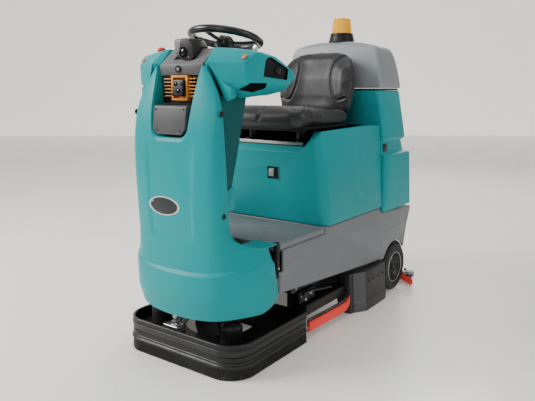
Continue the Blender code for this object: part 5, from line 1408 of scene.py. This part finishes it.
# ------------------------------------------------------------------ wheels
def wheel_parts(tag, cx, cy, cz, r, half, hub_r, body, face):
    """Tyre with a rounded shoulder and tread grooves; face (+1 or -1) is not used."""
    pr = [(hub_r + 0.0005, -half), (r - 0.016, -half), (r - 0.010, -half + 0.0008), (r - 0.004, -half + 0.0050), (r - 0.0008, -half + 0.0105), (r, -half + 0.0150)]
    for g in (-0.36, 0.0, 0.36):
        c = g * half
        pr += [(r, c - 0.0030), (r - 0.0026, c - 0.0022), (r - 0.0026, c + 0.0022), (r, c + 0.0030)]
    pr += [(r, half - 0.0150), (r - 0.0008, half - 0.0105), (r - 0.004, half - 0.0050), (r - 0.010, half - 0.0008), (r - 0.016, half), (hub_r + 0.0005, half)]
    side = [(q, h) for q, h in pr]
    tyre_o = obj("tyre_" + tag, turned(side, (cx, cy, cz), (1, 0, 0), 112), ["tyre"])
    return tyre_o


def hub_piece(tag, cx, cy, cz, half, hub_r, bore, face):
    f = face
    pr = [(bore, f * (half - 0.018)), (0.026, f * (half - 0.018)), (0.030, f * (half - 0.020)), (0.034, f * (half - 0.0245)), (hub_r * 0.70, f * (half - 0.0260)),
          (hub_r - 0.018, f * (half - 0.0180)), (hub_r - 0.0105, f * (half - 0.0040)), (hub_r - 0.0080, f * (half - 0.0010)), (hub_r - 0.0030, f * (half - 0.0008)), (hub_r, f * (half - 0.0030)),
          (hub_r, -f * (half - 0.0030)), (hub_r - 0.0050, -f * (half - 0.0010)), (hub_r - 0.0100, -f * (half - 0.0120)), (0.030, -f * (half - 0.0160)), (bore, -f * (half - 0.0120))]
    return obj("hub_" + tag, turned(pr, (cx, cy, cz), (1, 0, 0), 80), ["hub"])


for s, tag in ((1, "left"), (-1, "right")):
    cx = s * 0.296
    place(wheel_parts("rear_" + tag, cx, 0.540, 0.130, 0.130, 0.034, 0.0905, "rear_wheel_" + tag, s), "rear_wheel_" + tag, "tyre", "rear_tyre_" + tag, angle=30)
    place(hub_piece("rear_" + tag, cx, 0.540, 0.130, 0.0325, 0.0900, 0.0130, s), "rear_wheel_" + tag, "dark_grey", "rear_hub_" + tag, angle=30)
    rg = turned([(0.0795, 0.0318), (0.0802, 0.0332), (0.0822, 0.0332), (0.0828, 0.0318)], (cx, 0.540, 0.130), (s, 0, 0), 80)
    place(obj("hub_ring_" + tag, rg, ["steel"]), "rear_wheel_" + tag, "steel", angle=40)
    cap = turned([(0.0, 0.0225), (0.012, 0.0222), (0.0200, 0.0205), (0.0225, 0.0175), (0.0225, 0.0130), (0.0, 0.0130)], (cx, 0.540, 0.130), (s, 0, 0), 48, closed=False)
    place(obj("hub_cap_" + tag, cap, ["black"]), "rear_wheel_" + tag, "black_plastic", angle=40)
    for k in range(5):
        a = 2 * math.pi * k / 5 + 0.3
        place(obj("wheel_bolt_%s_%d" % (tag, k), bm_cyl(0.0050, (cx + s * 0.0055, 0.540 + 0.046 * math.cos(a), 0.130 + 0.046 * math.sin(a)), (cx + s * 0.0105, 0.540 + 0.046 * math.cos(a), 0.130 + 0.046 * math.sin(a)), 6), ["steel"]),
              "rear_wheel_" + tag, "steel", angle=30)
place(wheel_parts("front", 0.0, -0.555, 0.125, 0.125, 0.043, 0.0805, "front_wheel", 1), "front_wheel", "tyre", "front_tyre", angle=30)
place(hub_piece("front", 0.0, -0.555, 0.125, 0.0410, 0.0800, 0.0125, 1), "front_wheel", "dark_grey", "front_hub", angle=30)
for k in range(6):
    a = 2 * math.pi * k / 6
    for s in (1, -1):
        x = 0.0170 * s if s > 0 else -0.0300
        place(obj("front_bolt_%d_%d" % (k, s), bm_cyl(0.0052, (x, -0.555 + 0.044 * math.cos(a), 0.125 + 0.044 * math.sin(a)), (x + s * 0.006, -0.555 + 0.044 * math.cos(a), 0.125 + 0.044 * math.sin(a)), 6), ["steel"]),
              "front_wheel", "steel", angle=30)
fine("drive_fork", "frame", "frame_steel", 0.0016, 2)
for s in (1, -1):
    place(obj("fork_nut_" + ("left" if s > 0 else "right"), bm_cyl(0.0150, (s * 0.0680, -0.555, 0.125), (s * 0.0765, -0.555, 0.125), 6), ["steel"]), "drive_unit", "steel", angle=30)
    bk2 = obj("brake_calliper_" + ("left" if s > 0 else "right"), bm_box(min(s * 0.0685, s * 0.0740), max(s * 0.0685, s * 0.0740), -0.5900, -0.5200, 0.1700, 0.2350), ["steel"])
    bevel(bk2, 0.0030, 2)
    place(bk2, "drive_unit", "steel")


# ------------------------------------------------------------------ scrub deck
def sweep(outline, section, bm=None):
    bm = bm or bmesh.new()
    n = len(outline)
    loops = []
    for off, z in section:
        loop = []
        for i, (x, y) in enumerate(outline):
            px, py = outline[i - 1]
            qx, qy = outline[(i + 1) % n]
            tx, ty = qx - px, qy - py
            ln = math.hypot(tx, ty)
            loop.append(bm.verts.new((x + off * ty / ln, y - off * tx / ln, z)))
        loops.append(loop)
    fs = []
    for k in range(len(loops)):
        a, b = loops[k], loops[(k + 1) % len(loops)]
        for i in range(n):
            j = (i + 1) % n
            fs.append(bm.faces.new((a[i], a[j], b[j], b[i])))
    bmesh.ops.recalc_face_normals(bm, faces=fs)
    return bm


dlo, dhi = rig.box("deck_housing")
DX, DY0, DY1 = 0.320, dlo[1], dhi[1]
plan = rounded_rect(-DX + 0.006, DX - 0.006, DY0 + 0.006, DY1 - 0.006, (0.108, 0.012, 0.012, 0.108), 24)
sec = [(-0.0015, 0.1420), (0.0, 0.1405), (0.0, 0.1215), (0.0006, 0.1200), (0.0024, 0.1185), (0.0024, 0.1140), (0.0006, 0.1125), (0.0, 0.1110), (0.0, 0.0985), (-0.0010, 0.0965), (-0.0034, 0.0950),
       (-0.0034, 0.0930), (-0.0010, 0.0915), (0.0, 0.0895), (0.0, 0.0760), (-0.0010, 0.0745), (-0.0030, 0.0730), (-0.0030, 0.0714), (-0.0010, 0.0700), (0.0, 0.0685), (0.0, 0.0615), (0.0020, 0.0590),
       (0.0055, 0.0565), (0.0060, 0.0525), (-0.0100, 0.0525), (-0.0100, 0.1405), (-0.0085, 0.1420)]
place(obj("deck_ring", sweep(plan, sec), ["deck"]), "scrub_deck", "black_plastic", angle=28)
plan_in = rounded_rect(-DX + 0.0165, DX - 0.0165, DY0 + 0.0165, DY1 - 0.0165, (0.098, 0.004, 0.004, 0.098), 12)
fl = obj("deck_floor", loft([[(x, y, z) for x, y in plan_in] for z in (0.084, 0.092)]), ["deck"])
boolean(fl, obj("w", bm_cyl(0.150, (0, -0.555, 0.05), (0, -0.555, 0.12), 72)))
for s in (-1, 1):
    boolean(fl, obj("w", bm_cyl(0.0165, (s * 0.194, -0.714, 0.05), (s * 0.194, -0.714, 0.12), 32)))
place(fl, "scrub_deck", "black_plastic", "deck_housing", angle=30)
place(obj("bristle_strip", sweep(plan, [(0.0015, 0.0522), (0.0015, 0.0440), (-0.0060, 0.0440), (-0.0060, 0.0522)]), ["rubber"]), "scrub_deck", "black_plastic", angle=30)
# tufts of the skirt
bm = bmesh.new()
per = [Vector((x, y, 0)) for x, y in plan]
run, step, acc = [], 0.0044, 0.0
for i in range(len(per)):
    a, b = per[i], per[(i + 1) % len(per)]
    ln = (b - a).length
    while acc <= ln:
        run.append((a.lerp(b, acc / ln if ln else 0), (b - a).normalized()))
        acc += step
    acc -= ln
for i, (p, t) in enumerate(run):
    out = Vector((t.y, -t.x, 0))
    for row, o in enumerate((0.0002, -0.0040)):
        lean = Vector((random.uniform(-0.0009, 0.0009), random.uniform(-0.0009, 0.0009), 0)) + out * 0.0012
        a0 = p + out * o + t * (0.0022 * row) + Vector((0, 0, 0.0450))
        b0 = a0 + lean + Vector((0, 0, -0.0438 + random.uniform(0.0, 0.0012)))
        ra, rb = 0.00155, 0.00195
        va = [bm.verts.new(a0 + t * ra * math.cos(math.pi * k / 2 + 0.6) + out * ra * math.sin(math.pi * k / 2 + 0.6)) for k in range(4)]
        vb = [bm.verts.new(b0 + t * rb * math.cos(math.pi * k / 2 + 0.6) + out * rb * math.sin(math.pi * k / 2 + 0.6)) for k in range(4)]
        for k in range(4):
            bm.faces.new((va[k], va[(k + 1) % 4], vb[(k + 1) % 4], vb[k]))
        bm.faces.new(va)
        bm.faces.new(list(reversed(vb)))
bmesh.ops.recalc_face_normals(bm, faces=bm.faces)
place(obj("bristle_tufts", bm, ["bristle"]), "scrub_deck", "black_plastic", "deck_bristles", angle=60)
for s, tag in ((1, "left"), (-1, "right")):
    c = (s * 0.194, -0.714, 0.0)
    mp = [(0.0, 0.1900), (0.0100, 0.1900), (0.0260, 0.1890), (0.0340, 0.1840), (0.0420, 0.1760), (0.0440, 0.1680)]
    for k in range(5):
        z = 0.160 - 0.012 * k
        mp += [(0.0440, z + 0.0040), (0.0425, z + 0.0030), (0.0425, z - 0.0010), (0.0440, z - 0.0020)]
    mp += [(0.0445, 0.1000), (0.0560, 0.0965), (0.0560, 0.0928), (0.0, 0.0928)]
    place(obj("brush_motor_body_" + tag, turned(mp, c, (0, 0, 1), 64, closed=False), ["black"]), "scrub_deck", "black_plastic", "brush_motor_" + tag, angle=35)
    dp = [(0.0, 0.0820), (0.0120, 0.0820), (0.0120, 0.0720), (0.0960, 0.0700), (0.1000, 0.0660), (0.1010, 0.0500), (0.0, 0.0480)]
    place(obj("brush_disc_" + tag, turned(dp, c, (0, 0, 1), 64, closed=False), ["black"]), "brush_" + tag, "bristle", "brush_" + tag, angle=35)
    bb = bmesh.new()
    for ring, (rad, cnt) in enumerate(((0.060, 34), (0.072, 42), (0.084, 50), (0.095, 56))):
        for k in range(cnt):
            a = 2 * math.pi * (k + 0.37 * ring) / cnt
            p0 = Vector((c[0] + rad * math.cos(a), c[1] + rad * math.sin(a), 0.0520))
            p1 = Vector((c[0] + (rad + 0.004) * math.cos(a), c[1] + (rad + 0.004) * math.sin(a), 0.0020))
            bm_cyl(0.0026, p1, p0, 6, 0.0020, bb)
    place(obj("brush_tufts_" + tag, bb, ["bristle"]), "brush_" + tag, "bristle", angle=40)

hb = obj("hanger_block", bm_box(-0.1180, -0.0330, -0.7900, -0.7420, 0.0930, 0.1340), ["steel"])
bevel(hb, 0.0050, 4)
bake(hb)
place(hb, "scrub_deck", "steel", "deck_hanger", angle=35)
place(obj("hanger_post", bm_cyl(0.0120, (-0.067, -0.762, 0.134), (-0.067, -0.762, 0.1900), 32), ["steel"]), "scrub_deck", "steel", angle=35)
for z0, z1, r in ((0.1340, 0.1385, 0.0200), (0.1385, 0.1500, 0.0170), (0.1660, 0.1760, 0.0165)):
    place(obj("hanger_nut_%d" % int(z0 * 1e4), bm_cyl(r, (-0.067, -0.762, z0), (-0.067, -0.762, z1), 6 if r < 0.019 else 32), ["steel"]), "scrub_deck", "steel", angle=30)
ar = tube([(-0.0750, -0.7600, 0.1180), (-0.0900, -0.7250, 0.1180), (-0.150, -0.640, 0.1220), (-0.173, -0.540, 0.142), (-0.176, -0.420, 0.190)], 0.0105, 16)
place(obj("lift_lever", ar, ["frame"]), "scrub_deck", "frame_steel", angle=50)

# ------------------------------------------------------------------ side skirts and blades
for s, tag in ((1, "left"), (-1, "right")):
    p2 = [(0.240, 0.060), (0.312, 0.060), (0.316, 0.070), (0.318, 0.085), (0.358, 0.150), (0.3580, 0.260), (0.356, 0.375), (0.345, 0.388), (0.240, 0.388)]
    p2 = [(s * x, y) for x, y in (p2 if s > 0 else list(reversed(p2)))]
    sk = obj("side_skirt_" + tag, loft([[(x * k, y, z) for x, y in p2] for z, k in ((0.0020, 1.0), (0.0550, 1.0), (0.0565, 0.991), (0.0600, 0.9895), (0.1150, 0.9805), (0.2030, 0.965))]), ["skirt"])
    boolean(sk, obj("w", bm_box(min(s * 0.2, s * 0.330), max(s * 0.2, s * 0.330), 0.160, 0.376, -0.1, 0.190)))
    bevel(sk, 0.0030, 3, 25)
    place(sk, "chassis", "black_rubber", "rear_skirt_" + tag, angle=32)
    # the front facet, painted paler in dark grey as painted light, and the screws of the retaining strip
    quad = [(0.3190, 0.0862), (0.3562, 0.1474)]
    fp = loft([[(s * (x * k + ox), y + oy, z) for (x, y), (ox, oy) in ((quad[0], (0.0016, -0.0012)), (quad[1], (0.0016, -0.0012)), (quad[1], (-0.002, 0.0012)), (quad[0], (-0.002, 0.0012)))]
               for z, k in ((0.0040, 1.0), (0.0540, 1.0), (0.0590, 0.989), (0.1150, 0.9805), (0.2020, 0.965))])
    place(obj("skirt_front_strip_" + tag, fp, ["dgrey"]), "chassis", "black_rubber", angle=30)
    for k in range(4):
        y = 0.180 + 0.055 * k
        screw("skirt_screw_%s_%d" % (tag, k), (s * 0.3490, y, 0.150), (s, 0, 0.12), 0.0060, "chassis", "black", "black_plastic", h=0.0030)
    bl = spline([(s * 0.2965, -0.300, 0.052), (s * 0.3030, -0.150, 0.052), (s * 0.3080, 0.000, 0.054), (s * 0.3090, 0.035, 0.062), (s * 0.3090, 0.052, 0.078)], 8)
    place(obj("red_side_blade_" + tag, loft([[(p.x + a, p.y, p.z + b) for a, b in ((-0.0034, -0.0220), (-0.0006, -0.0232), (0.0022, -0.0228), (0.0038, -0.0210), (0.0040, 0.0200), (0.0030, 0.0218), (-0.0030, 0.0220), (-0.0038, 0.0205))] for p in bl]), ["red"]),
          "chassis", "red_rubber", "side_blade_" + tag, angle=40)
    ho = bl[:-9]
    place(obj("blade_holder_" + tag, loft([[(p.x - s * 0.0062 + a, p.y, p.z + 0.022 + b) for a, b in ((-0.0020, -0.020), (0.0020, -0.020), (0.0020, 0.014), (-0.0020, 0.014))] for p in ho]), ["frame"]),
          "chassis", "frame_steel", angle=40)


# ------------------------------------------------------------------ rear squeegee
def bow(x):
    return 0.846 - 0.175 * (abs(x) / 0.38) ** 2


xs = [-0.380 + 0.760 * i / 72 for i in range(73)]


def strip(section, xs=xs, bm=None):
    return loft([[(x, bow(x) + a, z) for a, z in section] for x in xs], bm)


sq = obj("squeegee_channel", strip([(-0.0400, 0.0575), (-0.0388, 0.0560), (0.0128, 0.0560), (0.0140, 0.0575), (0.0140, 0.0668), (0.0128, 0.0680), (-0.0388, 0.0680), (-0.0400, 0.0668)]), ["steel"])
place(sq, "squeegee", "steel", "squeegee_frame", angle=35)
place(obj("squeegee_flange", strip([(-0.0115, 0.0300), (0.0040, 0.0300), (0.0040, 0.0562), (-0.0115, 0.0562)]), ["steel"]), "squeegee", "steel", angle=35)
for nm, y0, y1, rep in (("rear", 0.0045, 0.0095, "squeegee_blade"), ("front", -0.0175, -0.0125, "squeegee_blade_front")):
    place(obj("red_blade_" + nm, strip([(y0, 0.0010), (y1, 0.0016), (y1, 0.0540), (y1 - 0.0008, 0.0552), (y0, 0.0552)]), ["red"]), "squeegee", "red_rubber", rep, angle=35)
ap = obj("squeegee_arm", bm_box(-0.060, 0.060, 0.640, 0.822, 0.0682, 0.0742), ["steel"])
bevel(ap, 0.0016, 2)
place(ap, "squeegee", "steel")
po = obj("squeegee_post", bm_box(-0.050, 0.050, 0.640, 0.656, 0.0742, 0.250), ["frame"])
bevel(po, 0.0016, 2)
place(po, "squeegee", "steel")
place(obj("suction_port", turned([(0.0180, 0.0), (0.0240, 0.0), (0.0240, 0.004), (0.0225, 0.006), (0.0225, 0.0460), (0.0180, 0.0470)], (0, 0.790, 0.0682), (0, 0, 1), 48), ["black"]), "squeegee", "black_plastic", angle=35)
for s, tag in ((1, "left"), (-1, "right")):
    rp = [(0.0060, 0.0086), (0.0200, 0.0086), (0.0236, 0.0078), (0.0250, 0.0056), (0.0250, 0.0016), (0.0238, 0.0), (0.0250, -0.0016), (0.0250, -0.0056), (0.0236, -0.0078), (0.0200, -0.0086), (0.0060, -0.0086)]
    place(obj("wall_roller_" + tag, turned(rp, (s * 0.372, 0.648, 0.0785), (0, 0, 1), 56), ["lgrey"]), "roller_" + tag, "grey_shell", "squeegee_roller_" + tag, angle=35)
    place(obj("roller_bolt_" + tag, bm_cyl(0.0056, (s * 0.372, 0.648, 0.0680), (s * 0.372, 0.648, 0.0900), 24), ["steel"]), "squeegee", "steel", angle=35)
    eb = obj("end_bracket_" + tag, bm_box(min(s * 0.3560, s * 0.3900), max(s * 0.3560, s * 0.3900), 0.6350, 0.6700, 0.0560, 0.0680), ["black"])
    bevel(eb, 0.0030, 3)
    place(eb, "squeegee", "black_plastic")
for i in range(11):
    x = -0.320 + 0.064 * i
    if abs(x) > 0.06:
        place(obj("squeegee_wing_nut_%d" % i, bm_cyl(0.0080, (x, bow(x) - 0.013, 0.0680), (x, bow(x) - 0.013, 0.0760), 20), ["black"]), "squeegee", "black_plastic", angle=40)

# ribbed suction hose between the squeegee and the elbow on the tank
pts, rib = [], []
N3 = 150
for i in range(N3 + 1):
    t = i / N3
    z = 0.1160 + (0.4550 - 0.1160) * t
    pts.append(Vector((0.0, 0.790 + 0.002 * math.sin(math.pi * t), z)))
rows = []
for i, p in enumerate(pts):
    r = 0.0196 + 0.0014 * math.sin(2 * math.pi * i / 5.0)
    rows.append([(p.x + r * math.cos(2 * math.pi * k / 28), p.y + r * math.sin(2 * math.pi * k / 28), p.z) for k in range(28)])
hs = obj("suction_hose_ribbed", loft(rows), ["rubber"])
smooth(hs, 60)
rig.replaces(hs, "suction_hose")
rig.slot(hs, "black_rubber")
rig.ride(hs, "squeegee")
HOSE = hs

# ------------------------------------------------------------------ dark working parts under the body
def dark(name, body, mat, slot_name, *args, w=0.003, segs=2, fn=bm_box):
    o = obj(name, fn(*args), [mat])
    if w:
        bevel(o, w, segs)
    return place(o, body, slot_name, angle=35)


for s, tag in ((1, "left"), (-1, "right")):
    q = lambda a, b: (min(s * a, s * b), max(s * a, s * b))
    x0, x1 = q(0.210, 0.250)
    dark("side_rail_" + tag, "chassis", "frame", "frame_steel", x0, x1, -0.370, 0.050, 0.215, 0.260)
    # a black sheet inboard of the rail: painted shade under the body
    x0, x1 = q(0.195, 0.208)
    dark("inner_screen_" + tag, "chassis", "black", "black_plastic", x0, x1, -0.325, 0.180, 0.060, 0.3040)
    x0, x1 = q(0.215, 0.285)
    dark("skirt_carrier_" + tag, "chassis", "black", "black_plastic", x0, x1, -0.300, 0.055, 0.100, 0.150, w=0.006, segs=3)
    x0, x1 = q(0.222, 0.262)
    dark("link_housing_" + tag, "chassis", "black", "black_plastic", x0, x1, -0.322, -0.190, 0.155, 0.212, w=0.006, segs=3)
    for k, (y, z) in enumerate(((-0.340, 0.235), (-0.265, 0.235), (-0.200, 0.236), (-0.100, 0.236), (-0.020, 0.236))):
        screw("rail_bolt_%s_%d" % (tag, k), (s * 0.250, y, z), (s, 0, 0), 0.0075, "chassis", "steel", "steel", h=0.0060)
    for k, (y, z) in enumerate(((-0.308, 0.188), (-0.280, 0.170), (-0.235, 0.190))):
        screw("link_bolt_%s_%d" % (tag, k), (s * 0.262, y, z), (s, 0, 0), 0.0090, "chassis", "steel", "steel", h=0.0070)
    place(obj("link_rod_" + tag, tube([(s * 0.270, -0.322, 0.175), (s * 0.272, -0.280, 0.205), (s * 0.270, -0.180, 0.190), (s * 0.268, -0.060, 0.170)], 0.0060, 12), ["frame"]), "chassis", "frame_steel", angle=50)
    place(obj("water_hose_" + tag, tube([(s * 0.240, -0.370, 0.225), (s * 0.266, -0.330, 0.262), (s * 0.268, -0.250, 0.272), (s * 0.250, -0.160, 0.250), (s * 0.256, -0.060, 0.225)], 0.0075, 12), ["rubber"]), "chassis", "black_rubber", angle=50)
    # curved liner over the rear wheel, in dark grey as painted shade inside the arch
    arc = []
    for k in range(25):
        a = math.radians(8 + 164 * k / 24)
        arc.append((0.540 + 0.1475 * math.cos(a), 0.130 + 0.1475 * math.sin(a)))
    inner = [(0.540 + 0.1445 * math.cos(math.radians(8 + 164 * k / 24)), 0.130 + 0.1445 * math.sin(math.radians(8 + 164 * k / 24))) for k in range(25)]
    o = obj("wheel_house_" + tag, prism([p for p in arc if p[0] > 0.3930] + [p for p in reversed(inner) if p[0] > 0.3930], min(s * 0.2560, s * 0.3105), max(s * 0.2560, s * 0.3105), "x"), ["dgrey"])
    place(o, "chassis", "grey_shell", angle=30)


# ------------------------------------------------------------------ nodes that show as they are
shown = {x.strip() for o in bpy.data.objects if o.get("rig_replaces") for x in str(o["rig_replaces"]).replace("[", "").replace("]", "").replace("'", "").split(",")}
for node in sorted(NODES):
    if NODES[node].hide_render or node in shown or NODES[node].data.materials and NODES[node].data.materials[0] in M.values():
        continue
    key = {"chassis_frame": "frame", "chassis_shell": "grey", "foot_platform": "grey", "battery_pack": "black", "vacuum_fan": "black", "solution_tank": "teal",
           "recovery_tank": "teal", "hood_gasket": "rubber", "hose_elbow": "black", "tank_hood": "lgrey", "beacon_base": "black", "beacon_lens": "amber",
           "drive_fork": "frame", "deck_housing": "deck", "deck_bristles": "rubber", "deck_hanger": "steel", "squeegee_frame": "steel", "suction_hose": "rubber",
           "seat_deck": "black", "seat_pan": "black", "seat_cushion": "vinyl", "seat_back": "vinyl", "platform_latch": "rubber", "seat_latch": "lgrey"}.get(node)
    if key is None:
        key = ("tyre" if "tyre" in node else "dgrey" if "hub" in node else "red" if "blade" in node else "lgrey" if "roller" in node
               else "skirt" if "skirt" in node else "rubber")
    keep(node, key)

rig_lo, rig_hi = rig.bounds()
with open("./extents.json", "w") as f:
    json.dump({"cad": [list(CAD_BOX[0]), list(CAD_BOX[1])], "visual": [list(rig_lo), list(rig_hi)]}, f)
